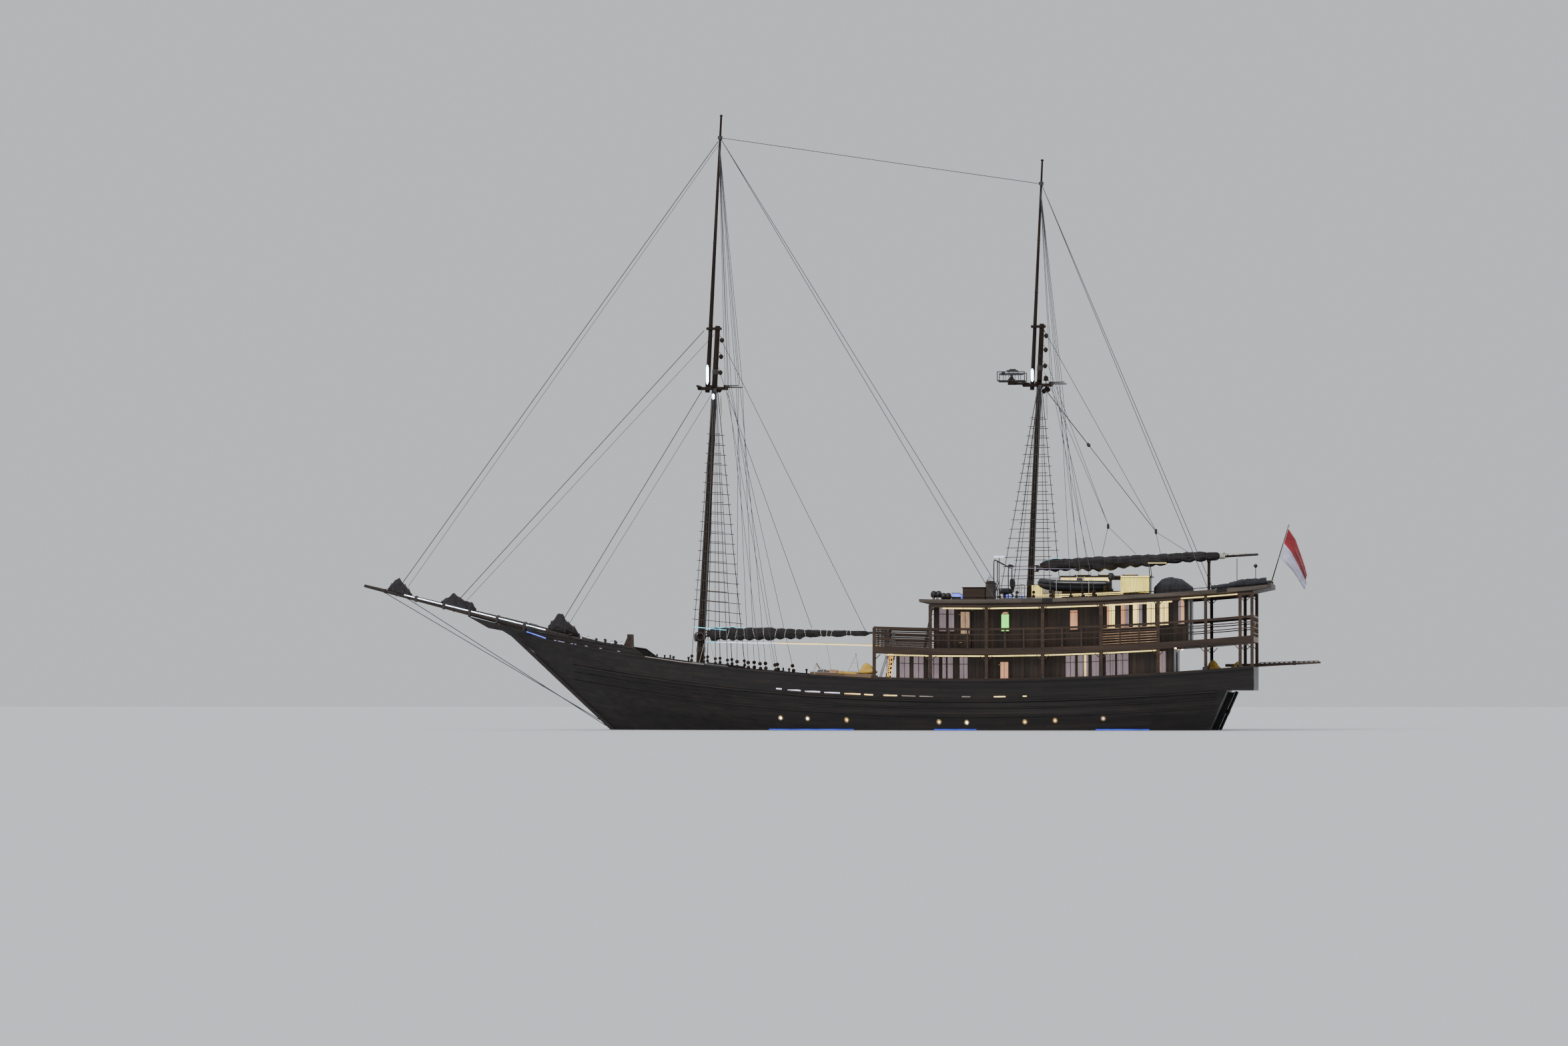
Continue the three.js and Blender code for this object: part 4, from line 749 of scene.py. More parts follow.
def shroud_spot(fan, number, share):
    feet, head, level, edge, _ = fan
    x = feet[number] + (head.x + (1.5 - number) * HEAD_GAP - feet[number]) * share
    out = edge(feet[0]) + (x - feet[0]) / (feet[3] - feet[0]) * (edge(feet[3]) - edge(feet[0]))
    return at(x, out * (1 - share) + head.y * share, (sheer(x) + level) * (1 - share) + head.z * share)


def deadeye(spot, half, flat, edge, rim):
    return turned(spot, (0, 1, 0), (-half, -flat, flat, half), [edge, rim, rim, edge], 14)


for name, fan in FANS.items():
    height = (shroud_spot(fan, 0, 1) - shroud_spot(fan, 0, 0)).length
    battens, share = [], fan[-1] / height
    while share < RATLINE_TOP:
        first, last = shroud_spot(fan, 0, share), shroud_spot(fan, 3, share)
        past = (first - last).normalized() * 0.06
        battens.append(bar(first + past, last - past, 0.022, 0.016))
        share += RATLINE_STEP / height
    both_sides(f"{name}_ratlines", battens, frame_timber)
    eyes, lanyards = [], []
    for number in range(4):
        low, high = [shroud_spot(fan, number, up / height) for up in EYES_UP]
        eyes += [deadeye(spot, 0.020, 0.012, 0.028, 0.040) for spot in (low, high)]
        lanyards += [tube([low + at(off, 0.004, 0), high + at(off, 0.004, 0)], 0.005, 6)
                     for off in (-0.018, 0.0, 0.018)]
    both_sides(f"{name}_deadeyes", eyes, spar_timber)
    both_sides(f"{name}_lanyards", lanyards, tarred_rope)
    if name == "fore":
        rise = (2.56 - sheer(5.226)) / (fan[1].z - sheer(5.226))
        lit = [shroud_spot(fan, n, rise) + at(0, 0.02, 0) for n in range(4)]
        both_sides("shroud_light", [tube(lit, 0.008, 6)], cyan_lamp)
    print(name, "ratlines on each side:", len(battens))

# %% [markdown]
# The rest of the rigging is straight rope or wire. Two bobstays hold the bowsprit down to the stem. Topmast
# shrouds run over the ends of the crosstrees' arms to the rail or the roof, and stand on deadeyes too.
# Halyards come down close beside the masts, clear of the booms' swing. All of these are drawn taut.

# %% Bobstays, topmast shrouds and halyards
BOWSPRIT_TIP, BOWSPRIT_RISE = at(13.729, 0, 3.62), 0.2516
ARMS = {"fore_topmast": (8.648, 14.6, 0.0, deck_edge,
                         [(4.06, 4.20, 0.45), (3.77, 4.26, 0.43), (3.46, 4.48, 0.375), (3.07, 4.54, 0.36)]),
        "main_topmast": (8.688, 13.4, ROOF, roof_edge,
                         [(-4.20, -3.83, 0.42), (-4.50, -3.74, 0.395), (-4.80, -3.60, 0.357)])}


def bowsprit_spot(x):
    return at(x, 0, BOWSPRIT_TIP.z - BOWSPRIT_RISE * (BOWSPRIT_TIP.x - x))


def bowsprit_girth(x):
    return 0.102 - 0.064 * max(0.0, (x - 10.0) / 3.729)


bobstays = [[bowsprit_spot(x) - above(bowsprit_girth(x)), (STEM_FOOT + STEM_RAKE * z + 0.14, 0, z)]
            for x, z in ((13.2, 0.25), (12.6, 0.10))]
piece("bobstays", [tube(path, 0.010, 6) for path in bobstays], wire_steel)
for mast, (arm_z, top, level, edge, runs) in ARMS.items():
    lines, eyes = [], []
    for i, (x, over_x, over_y) in enumerate(runs):
        foot, over = at(x, edge(x), sheer(x) + level), at(over_x, over_y, arm_z)
        lines += [tube([mast_spot(mast, top - 0.05 * i, girth(mast, top)), over], 0.006, 6),
                  tube([over, foot], 0.006, 6)]
        eyes += [deadeye(foot.lerp(over, share), 0.024, 0.014, 0.034, 0.048) for share in (0.005, 0.022)]
    both_sides(f"{mast}_shrouds", lines, wire_steel)
    both_sides(f"{mast}_deadeyes", eyes, spar_timber)
halyards = [tube([mast_spot(mast, z, girth(mast, z) + 0.018) + at(off, 0, 0) for z in (low, 8.5)], 0.006, 6)
            for mast, low in (("foremast", 1.9), ("mainmast", 3.62)) for off in (-0.05, 0.0, 0.05)]
both_sides("halyards", halyards, tarred_rope)
print("bobstays:", len(bobstays), "halyards on each side:", len(halyards))

# %% [markdown]
# Wooden blocks hang from the mastheads on short strops. Each is a pear of wood. On the masts' own blocks the
# strop goes round the wood, and the ends of the pin show on both faces. Spare rope hangs in hanks and in
# coils beside the masts.

# %% Blocks and spare rope
BLOCK_SIZE = 0.055
BLOCK_ROWS = [(-1.15, 0.30), (-0.8, 0.72), (-0.2, 1.0), (0.4, 0.86), (0.9, 0.46), (1.1, 0.22)]


def wooden_block(spot):
    return skin([[spot + BLOCK_SIZE * at(reach * math.cos(t), 0.62 * reach * math.sin(t), up)
                  for t in circle(16)] for up, reach in BLOCK_ROWS])


BLOCKS = [("foremast", 9.75), ("foremast", 9.34), ("foremast", 8.94), ("foremast", 8.50), ("mainmast", 9.81),
          ("mainmast", 9.46), ("mainmast", 9.06), ("mainmast", 8.43)]
wood, strops, pins = [], [], []
for mast, z in BLOCKS:
    spot = mast_spot(mast, z) - at(girth(mast, z) + 0.06, 0, 0)
    eye = mast_spot(mast, z + 0.12) - at(girth(mast, z), 0, 0)
    wood.append(wooden_block(spot))
    strops += [tube([eye, spot + above(BLOCK_SIZE)], 0.007, 6), hoop(spot, (0, 1, 0), 0.052, 0.006, 16, 6)]
    pins.append(turned(spot, (0, 1, 0), (-0.037, 0.037), 0.010, 14))
for eye, spot in (((-3.46, 0.03, 8.69), (-3.52, 0.05, 8.47)), ((-3.44, -0.08, 8.69), (-3.46, -0.10, 8.49))):
    wood.append(wooden_block(Vector(spot)))
    strops.append(tube([eye, Vector(spot) + above(0.05)], 0.007, 6))
piece("mast_blocks", wood, spar_timber, smooth=180)
piece("mast_block_strops", strops, tarred_rope)
piece("mast_block_pins", pins, dark_iron)
chocks = [block((-3.34, -0.16, 8.70), (-3.25, 0.16, 8.79)),
          tube([(-3.46, y, 8.76) for y in (-0.07, 0.07)], 0.055, 16),
          block((-3.52, -0.10, 8.69), (-3.40, 0.10, 8.73))]
piece("masthead_chocks", chocks, spar_timber, bevel=0.006)
hanks = []
for x, top, long in ((-3.47, 8.40, 0.66), (4.69, 8.28, 0.46)):
    for i in range(5):
        off = at(0.012 * math.cos(i * 1.26), 0.012 * math.sin(i * 1.26), 0)
        path = [at(x - aft, 0, top + up) + off * share for aft, up, share in
                ((0, 0.10, 0), (0, 0, 1), (0.01, -long / 2, 1.6), (0.02, -long, 0.4))]
        hanks.append(tube(path, 0.006, 6))
piece("hanging_hanks", hanks, pale_rope, smooth=60)
coils = []
for turn, z in ((-0.6, 2.34), (0.35, 2.30), (1.5, 2.32), (-1.6, 2.33)):
    way = at(math.cos(turn), math.sin(turn), 0)
    coils += [hoop(mast_spot("foremast", z) + way * (girth("foremast", z) + 0.02 + 0.014 * i), way,
                   0.085 + 0.006 * (i % 2), 0.009, 18, 6) for i in range(4)]
piece("mast_coils", coils, tarred_rope)
piece("mast_pin_band", [mast_hoop("foremast", 2.42, 0.012, 0.018, 24)], dark_iron)
print("blocks:", len(wood))

# %% [markdown]
# Ropes between a mast and a boom belong to both. Each such rope is one piece, drawn between its two ends
# and fixed in place on no body, so it stays put when the boom swings.

# %% Lifts on the booms
LIFT_TOP, LIFT_END = (-3.42, 0, 8.50), (-6.187, 0, 4.925)
LIFTS = {
    "fore_lift": ("fore_boom", (4.70, 0, 9.80), (1.05, 0, 2.46), 0.007),
    "fore_lift_inner": ("fore_boom", (4.74, 0, 9.00), (2.40, 0, 2.54), 0.007),
    "main_lift": ("main_boom", LIFT_TOP, LIFT_END, 0.009),
    "main_lift_upper_port": ("main_boom", (-3.36, 0.05, 10.05), (-6.187, 0.012, 4.95), 0.006),
    "main_lift_upper_starboard": ("main_boom", (-3.36, -0.05, 10.05), (-6.187, -0.012, 4.95), 0.006),
    "main_bridle_fall_a": ("main_boom", (-3.50, 0, 9.10), (-5.00, 0.012, 5.10), 0.006),
    "main_bridle_fall_b": ("main_boom", (-3.42, 0, 8.90), (-5.00, -0.012, 5.10), 0.006),
}
for name, (boom, top, low, thick) in LIFTS.items():
    rope = piece(name, [tube(spread(at(*top), at(*low), 24), thick, 6)], tarred_rope, body=None)
    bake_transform(rope)
bridle = []
for top, feet in (((-5.0, 0, 5.05), ((-4.84, 0, 4.33), (-5.70, 0, 4.36))),
                  ((-6.187, 0, 4.915), ((-6.30, 0, 4.36), (-7.0, 0, 4.40)))):
    bridle += [tube([top, foot], 0.006, 6) for foot in feet]
    bridle.append(turned(top, (0, 0, 1), (0.08, 0.05, -0.03, -0.06), [0.015, 0.036, 0.036, 0.015], 12))
piece("main_bridle", bridle, tarred_rope, body="main_boom")
start, end = at(*LIFT_TOP), at(-4.50, 0, 7.105)
tackle = [tube(spread(start + off, end + off, 10), 0.011, 6) for off in (at(0, -0.02, 0), at(0, 0.02, 0))]
tackle.append(turned(end, end - start, (-0.02, 0.0, 0.03, 0.05), [0.015, 0.045, 0.045, 0.015], 10))
purchase = piece("main_lift_tackle", tackle, tarred_rope, body=None)
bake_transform(purchase)
print("ropes shared by masts and booms:", len(LIFTS) + 1)

# %% [markdown]
# The bowsprit carries a cold white light strip along its upper sides, broken by dark lashings, and iron rings
# where the stays come to it.

# %% Bowsprit fittings
STRIP_FORE, STRIP_AFT = 12.70, 9.11
TIES = [12.40, 11.69, 11.03, 10.33, 9.64]


def on_bowsprit(x, turn, off):
    reach = bowsprit_girth(x) + off
    return bowsprit_spot(x) + at(0, reach * math.cos(turn), reach * math.sin(turn))


runs = list(zip([STRIP_FORE] + [x - 0.045 for x in TIES], [x + 0.045 for x in TIES] + [STRIP_AFT]))
strips = [[on_bowsprit(x, math.radians(24), 0.009) for x in spread(fore, aft, 4)] for fore, aft in runs]
both_sides("bowsprit_light", [tube(path, 0.011) for path in strips], cold_lamp)
way = at(1, 0, BOWSPRIT_RISE)
lashings = [hoop(bowsprit_spot(x) + way * 0.02 * i, way, bowsprit_girth(x) + 0.012, 0.011, 20, 6)
            for x in TIES for i in (-1, 0, 1)]
piece("bowsprit_lashings", lashings, tarred_rope)
piece("bowsprit_rings", [hoop(bowsprit_spot(x), way, bowsprit_girth(x) + 0.004, 0.012, 20, 6)
                         for x in (13.2, 12.9, 12.6, 11.43, 8.82)], dark_iron)
gammoning = [hoop(bowsprit_spot(9.35 + 0.024 * i), way, 0.108, 0.012, 20, 6) for i in range(9)]
piece("bowsprit_gammoning", gammoning, tarred_rope)
print("lit runs on the bowsprit:", len(runs))

# %% [markdown]
# A furled sail is canvas gathered on its spar and tied with short ropes. One bundle is a row of uneven rings
# through a table of places, heights and widths. It swells between the ties and is drawn in at each of them,
# and its skin has creases that run along it and slant from tie to tie. The ties are loops round the same
# rings.

# %% Furled canvas


def between(table, x):
    rows = sorted(table)
    for a, b in zip(rows, rows[1:]):
        if x <= b[0] or b is rows[-1]:
            share = min(1.0, max(0.0, (x - a[0]) / (b[0] - a[0])))
            share = share * share * (3 - 2 * share)
            return [p + (q - p) * share for p, q in zip(a[1:], b[1:])]


def canvas_ring(table, ties, seed, x, sides=40, grow=1.0, flat=0.0):
    low, high, half = between(table, x)
    middle, half_high = (low + high) / 2, (high - low) / 2
    end = min(x - min(table)[0], max(table)[0] - x)
    near = min([abs(x - t) for t in ties] + [9.0])
    pinch = 1 - 0.07 * math.exp(-(near / 0.035) ** 2)
    droop = 1 + 0.25 * min(1.0, near / 0.12)
    shut = math.sin(min(1.0, max(0.04, end) / 0.10) * math.pi / 2)
    ring = []
    for turn in circle(sides):
        y, z = math.cos(turn), math.sin(turn)
        swell = noise.noise(at(x * 1.6, 1.3 * y + seed, 1.3 * z))
        fold = noise.noise(at(x * 3.1 + 0.8 * z, 3.8 * y + seed, 3.8 * z))
        crease = abs(noise.noise(at(x * 3.4 + 0.5 * turn, 5.2 * y - 2.2 * x + seed, 5.2 * z)))
        reach = 1 + 0.20 * swell + 0.16 * fold + (0.12 - 0.42 * crease) * min(1.0, 0.35 + near / 0.16)
        reach *= pinch * shut * grow
        lift = z * half_high * reach * (1 if z > 0 or flat else droop)
        if flat:
            sole = half_high * (1 - flat)
            lift = (max(lift, -sole) + sole) * 2 / (2 - flat) - half_high
        ring.append(at(x + 0.012 * fold, half * reach * y, middle + lift))
    return ring


def gathered(table, ties, seed, flat=0.0, step=0.022):
    aft, fore = min(table)[0], max(table)[0]
    places = spread(aft, fore, int((fore - aft) / step))
    return skin([canvas_ring(table, ties, seed, x, flat=flat) for x in places])


def tie_loops(table, ties, seed, thick=0.006, flat=0.0, turns=1):
    loops = []
    for number, x in enumerate(ties):
        for turn in range(turns):
            lean = 0.03 * math.sin(5.1 * number + turn)
            ring = canvas_ring(table, ties, seed, x + 0.024 * turn, 28, 1.05, flat)
            middle = sum((p.z for p in ring)) / len(ring)
            path = [p + at(lean * (p.z - middle) / 0.1, 0, 0) for p in ring]
            loops.append(tube(path + path[:2], thick, 6))
    return loops


SAILS = {
    "fore": ([(5.00, 2.33, 2.50, 0.055), (4.93, 2.25, 2.55, 0.09), (4.70, 2.26, 2.55, 0.10),
              (3.6, 2.28, 2.54, 0.105), (2.72, 2.29, 2.52, 0.10), (2.48, 2.335, 2.49, 0.075),
              (0.96, 2.36, 2.468, 0.060)],
             [4.70, 4.493, 4.292, 4.090, 3.85, 3.603, 3.301, 3.066, 2.798, 2.564, 2.17, 2.02, 1.90, 1.52,
              1.42], 3.0, pale_rope),
    "main": ([(-3.30, 4.03, 4.17, 0.05), (-3.60, 3.98, 4.24, 0.12), (-4.47, 3.98, 4.29, 0.14),
              (-5.80, 4.085, 4.335, 0.12), (-7.27, 4.195, 4.41, 0.105), (-7.80, 4.235, 4.40, 0.07)],
             [-3.55, -3.82, -4.10, -4.36, -4.62, -4.92, -5.25, -5.55, -5.85, -6.20, -6.50, -6.85, -7.15,
              -7.45], 8.0, tarred_rope),
}
for name, (table, ties, seed, rope) in SAILS.items():
    boom = f"{name}_boom"
    canvas = piece(f"{name}_canvas", [gathered(table, ties, seed)], sail_canvas, body=boom, smooth=180)
    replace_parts(canvas, f"{name}_sail")
    piece(f"{name}_canvas_ties", tie_loops(table, ties, seed), rope, body=boom, smooth=180)
for name, start, step, count, side, off, thick in (("fore", 4.94, 0.07, 14, 8, 0.008, 0.006),
                                                   ("main", -3.38, 0.06, 8, 9, 0.006, 0.005)):
    edge = [canvas_ring(*SAILS[name][:3], start - step * i)[side] + at(0, 0.004, off) for i in range(count)]
    piece(f"{name}_sail_light", [tube(edge, thick, 6)], cyan_lamp, body=f"{name}_boom")
print("ties on the two sails:", sum(len(sail[1]) for sail in SAILS.values()))

# %% [markdown]
# A lashing holds the main sail's loose end to the boom near its tip: a pale knot with one tail. The loops
# lie close round the boom, and the tail lies along its side to the tip. Small iron rings sit on both booms.

# %% The lashing on the main boom
knot = [hoop((-7.78 - 0.022 * i, 0, 4.315), (1, 0, 0.05 * math.sin(i)), 0.075 - 0.002 * i, 0.012, 18, 6)
        for i in range(6)]
bow = [(-7.84, 0.05, 4.36), (-7.88, 0.07, 4.41), (-7.93, 0.065, 4.37), (-7.98, 0.05, 4.345)]
tail = [(-7.95, 0.05, 4.36), (-8.2, 0.045, 4.375), (-8.45, 0.04, 4.37), (-8.66, 0.03, 4.375)]
knot += [tube(bow, 0.022), tube(tail, 0.010, 6)]
piece("boom_lashing", knot, pale_rope, body="main_boom", smooth=180)
fore_rings = [hoop((x, 0, z), (1, 0, 0.02), reach, 0.008, 16, 6)
              for x, z, reach in ((0.92, 2.42, 0.026), (1.05, 2.42, 0.027), (2.40, 2.414, 0.034))]
piece("fore_boom_rings", fore_rings, dark_iron, body="fore_boom")
main_rings = [hoop((x, 0, 4.352 - 0.033 * (x + 8.719)), (1, 0, -0.03), reach, 0.009, 16, 6)
              for x, reach in ((-8.66, 0.029), (-8.5, 0.030), (-8.1, 0.032))]
piece("main_boom_rings", main_rings, dark_iron, body="main_boom")
print("rings on the booms:", len(fore_rings) + len(main_rings))

# %% [markdown]
# Each jib is dropped along the bowsprit under its stay. It stands tallest just behind the stay, where the
# luff is hanked to the wire, and falls away aft. It lies on the spar, so its underside is flat. Ropes tie it
# down, and its halyard runs up close behind the stay. The stay is one solid with the canvas in the packed
# model, so both are drawn again.

# %% Furled jibs
JIB_FLAT, JIB_STEP = 0.35, 0.012
JIBS = {"jib_outer": ((4.76, 14.74), 12.90, (12.98, 12.72, 12.60),
                      [(13.13, 0.03, 0.05), (13.05, 0.06, 0.15), (12.93, 0.08, 0.30), (12.83, 0.085, 0.35),
                       (12.72, 0.10, 0.25), (12.60, 0.09, 0.15), (12.51, 0.05, 0.06)]),
        "jib_middle": ((5.11, 10.0), 11.43, (11.62, 11.30, 11.02),
                       [(11.76, 0.04, 0.06), (11.60, 0.08, 0.16), (11.45, 0.085, 0.29), (11.33, 0.095, 0.24),
                        (11.15, 0.10, 0.17), (10.98, 0.09, 0.18), (10.88, 0.06, 0.08)]),
        "jib_inner": ((5.17, 8.48), 8.82, (8.93, 8.58, 8.40),
                      [(9.05, 0.05, 0.10), (8.94, 0.08, 0.22), (8.80, 0.09, 0.40), (8.70, 0.10, 0.43),
                       (8.58, 0.11, 0.28), (8.42, 0.10, 0.20), (8.25, 0.06, 0.08)])}


def spar_top(x):
    return bowsprit_spot(x).z + bowsprit_girth(x) * 1.03


for number, (name, (head, foot, ties, rows)) in enumerate(JIBS.items()):
    seed = 11.0 + number
    table = [(x, spar_top(x) - 0.015, spar_top(x) + up, half) for x, half, up in rows]
    heap = gathered(table, ties, seed, JIB_FLAT, JIB_STEP)
    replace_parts(piece(name + "_canvas", [heap], sail_canvas, smooth=180), name)
    low, high = at(foot, 0, spar_top(foot) + 0.02), at(head[0], 0, head[1])
    if number:
        beside = mast_spot("foremast", min(head[1], 10.0) - 0.10, 0.02) + at(girth("foremast", 8.5), 0, 0)
    else:
        beside = mast_spot("fore_topmast", head[1] - 0.10, 0.02) + at(0.04, 0, 0)
    piece(name + "_stay", [tube([low, high], 0.010)], wire_steel)
    piece(name + "_halyard", [tube([low + at(-0.20, 0.02, -0.02), beside], 0.006, 6)], tarred_rope)
    stay = high - low
    hanks = [low.lerp(high, (rows[2][2] * 0.3 + 0.035 * i) / stay.length) for i in range(5)]
    piece(name + "_hanks", [hoop(spot, stay, 0.016, 0.006, 12, 6) for spot in hanks], bright_steel)
    piece(name + "_ties", tie_loops(table, ties, seed, 0.007, JIB_FLAT, 2), tarred_rope, smooth=180)
print("jibs:", len(JIBS))

# %% [markdown]
# An awning of pale canvas is stretched flat over the fore deck, narrow forward and wide aft, just under the
# boom. A rope is sewn in all round it. A light strip lies beneath each long edge, cyan by the mast, lilac
# next and yellow aft. Thin lines with eyelets pull the cloth out to the rail, so it stays nearly flat and
# only sags a little between them.

# %% The awning
AWNING = [(0.66, 0.95, 2.112), (2.40, 0.95, 2.155), (4.40, 0.85, 2.192), (5.03, 0.52, 2.205)]
AWNING_AFT, AWNING_FORE, AWNING_LONG, LINE_GAP = 0.66, 5.03, 4.37, 0.73
THREAD = 0.008


def awning_spot(x, share, lift=0.0):
    a, b = [(a, b) for a, b in zip(AWNING, AWNING[1:]) if x <= b[0] or b is AWNING[-1]][0]
    part = (x - a[0]) / (b[0] - a[0])
    half, z = a[1] + (b[1] - a[1]) * part, a[2] + (b[2] - a[2]) * part
    scallop = 0.018 * abs(math.sin(math.pi * (x - AWNING_AFT) / LINE_GAP)) * abs(share) ** 3
    sag = 0.020 * (1 - share * share) * math.sin(math.pi * (x - AWNING_AFT) / AWNING_LONG)
    ripple = 0.004 * noise.noise(at(x * 2.0, share * 5, 1.0))
    return at(x, (half - scallop) * share, z + 0.006 - sag + ripple + lift)


def awning_row(x, parts):
    return [awning_spot(x, share) for share in spread(-1, 1, parts)]


rows = [awning_row(x, 28) for x in spread(AWNING_AFT, AWNING_FORE, 72)]
awning = piece("awning", [skin(rows, closed=False)], awning_cloth, smooth=180, thick=0.003)
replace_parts(awning, "foredeck_awning")
edges = [[awning_spot(x, side) for x in spread(AWNING_AFT, AWNING_FORE, 40)] for side in (1, -1)]
edges += [awning_row(x, 20) for x in (AWNING_AFT, AWNING_FORE)]
piece("awning_hem", [tube(edge, THREAD, 6) for edge in edges], pale_rope, smooth=180)
eyelets, lines = [], []
for x in (0.66, 2.12, 3.58, 5.03):
    for side in (1, -1):
        edge = awning_spot(x, side)
        eyelets.append(hoop(edge + at(0, -side * 0.03, 0.004), (0, 0, 1), 0.014, 0.004, 14, 6))
        lines.append(tube([edge, (x, side * (deck_edge(x) - 0.02), sheer(x) + 0.01)], 0.004, 6))
piece("awning_eyelets", eyelets, screw_bronze, smooth=180)
piece("awning_lines", lines, pale_rope)
for name, fore, aft, lamp in (("fore", 5.01, 4.72, cyan_lamp), ("middle", 4.70, 3.25, lilac_lamp),
                              ("aft", 3.25, 0.78, yellow_lamp)):
    strip = [awning_spot(x, 0.97, -0.016) for x in spread(fore, aft, 12)]
    both_sides(f"awning_light_{name}", [tube(strip, 0.010)], lamp)
print("awning length:", round(rows[-1][0].x - rows[0][0].x, 2))

# %% [markdown]
# The ensign hangs from its staff in still air. Its hoist stays straight on the staff, and the rest falls aft
# and closes into deep folds, so the fly is narrow. The upper band is red and the lower one white, painted
# grey-lilac: painted shade and the tint of the evening light on white cloth. Each upright row keeps its full
# width by zigzagging from side to side as it narrows.

# %% The ensign
STAFF_FOOT, STAFF_HEAD = at(-9.02, 0, 3.585), at(-9.477, 0, 5.094)
HOIST, FLY, PLEATS = 0.73, 1.30, 5
UPPER_EDGE = [(-9.462, 4.985), (-9.64, 4.72), (-9.79, 4.30), (-9.88, 4.02), (-9.925, 3.82)]
LOWER_EDGE = [(-9.249, 4.275), (-9.42, 4.10), (-9.58, 3.93), (-9.74, 3.68), (-9.865, 3.48)]


def along_edge(edge, share):
    place = share * (len(edge) - 1)
    i = min(int(place), len(edge) - 2)
    return at(edge[i][0], 0, edge[i][1]).lerp(at(edge[i + 1][0], 0, edge[i + 1][1]), place - i)


rows = []
for share in spread(0, 1, 60):
    top, low = along_edge(UPPER_EDGE, share), along_edge(LOWER_EDGE, share)
    chord = (top - low).length
    deep = 0.5 * math.sqrt(max(0.0, (HOIST / PLEATS) ** 2 - (chord / PLEATS) ** 2)) * min(1.0, share * 5)
    row = []
    for part in spread(0, 1, 50):
        fold = math.sin(math.pi * PLEATS * part + 0.9 * share) * deep
        drift = 0.035 * share * math.sin(3.0 * share + 2.0 * part)
        row.append(top.lerp(low, part) + at(0.02 * math.sin(7 * part) * share, fold + drift, 0))
    rows.append(row)
ensign = piece("ensign_cloth", [skin(rows, closed=False)], ensign_red, smooth=180, thick=0.0025)
ensign.data.materials.append(ensign_white)
for polygon in ensign.data.polygons:
    polygon.material_index = 1 if polygon.index % 50 >= 25 else 0
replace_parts(ensign, "ensign")
toggles = [hoop(STAFF_FOOT.lerp(STAFF_HEAD, share), STAFF_HEAD - STAFF_FOOT, 0.018, 0.005, 14, 6)
           for share in (0.46, 0.70, 0.925)]
piece("ensign_toggles", toggles, pale_rope)
piece("staff_knob", [turned(STAFF_HEAD, (0, 0, 1), (-0.03, -0.015, -0.002), [0.012, 0.020, 0.010], 12)],
      screw_bronze, smooth=180)
print("ensign rows:", len(rows))

# %% [markdown]
# Stowed gear stands on the roof under a tarpaulin. The cloth lies over the lumps beneath, falls straight at
# the sides, gathers in folds at its corners and is held by two lashings.

# %% The tarpaulin
COVER = [(-6.14, 0.16, 0.18), (-6.34, 0.32, 0.39), (-6.58, 0.34, 0.42), (-6.86, 0.33, 0.32),
         (-7.10, 0.17, 0.12)]


def cover_spot(share, turn):
    place = share * (len(COVER) - 1)
    i = min(int(place), len(COVER) - 2)
    x, half, high = [p + (q - p) * (place - i) for p, q in zip(COVER[i], COVER[i + 1])]
    y = -math.cos(turn)
    over = max(0.0, math.sin(turn)) ** 0.7
    lump = 0.022 * noise.noise(at(x * 4.5, y * 2.2, 4.0)) + 0.014 * noise.noise(at(x * 11, y * 6, 8.0))
    fold = 0.016 * (1 - over) * math.sin(34 * x + 5 * math.sin(3 * x))
    return at(x + 0.4 * fold, y * half * (1 + 0.1 * (1 - over)) + fold * (1 if y > 0 else -1),
              roof_at(x) + 0.004 + (high + lump) * over)


rows = [[cover_spot(share, turn) for turn in spread(0, math.pi, 44)] for share in spread(0, 1, 66)]
cover = piece("tarpaulin", [skin(rows, closed=False)], cover_cloth, smooth=180, thick=0.004)
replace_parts(cover, "covered_gear")
ties = [[cover_spot(share, turn) + above(0.006) for turn in spread(0, math.pi, 30)] for share in (0.42, 0.62)]
piece("tarpaulin_lashings", [tube(tie, 0.006, 6) for tie in ties], tarred_rope, smooth=180)
print("tarpaulin points:", len(rows) * len(rows[0]))

# %% [markdown]
# Yellow bean bags lie on the fore trunk and on the aft locker. A bean bag is six gores sewn together. It
# slumps into a teardrop with a broad sole, and its seams sink between soft bulges. Flat pads lie along the
# trunk top.

# %% Bean bags and pads


def bean_bag(spot, radius, high, turn, seed, lean):
    rings = []
    for h in spread(0, 1, 33):
        belly = 0.80 + 0.26 * math.sin(math.pi * min(1.0, h * 2.1))
        reach = max(0.035, belly * max(0.0, 1 - h ** 2.1) ** 0.62) * (0.86 + 0.14 * min(1.0, h * 9))
        ring = []
        for angle in circle(48):
            x, y = math.cos(angle), math.sin(angle)
            bulge = 0.955 + 0.045 * min(1.0, abs(math.sin(3 * (angle + turn))) * 2.6)
            slump = 1 + 0.07 * noise.noise(at(x * 1.4 + seed, y * 1.4, h * 1.5))
            wrinkle = 0.028 * noise.noise(at(x * 5, y * 5 + seed, h * 2.5))
            out = radius * (reach * bulge * slump + wrinkle)
            ring.append(spot + at(out * x + lean * h * h, out * y, high * h))
        rings.append(ring)
    return skin(rings)


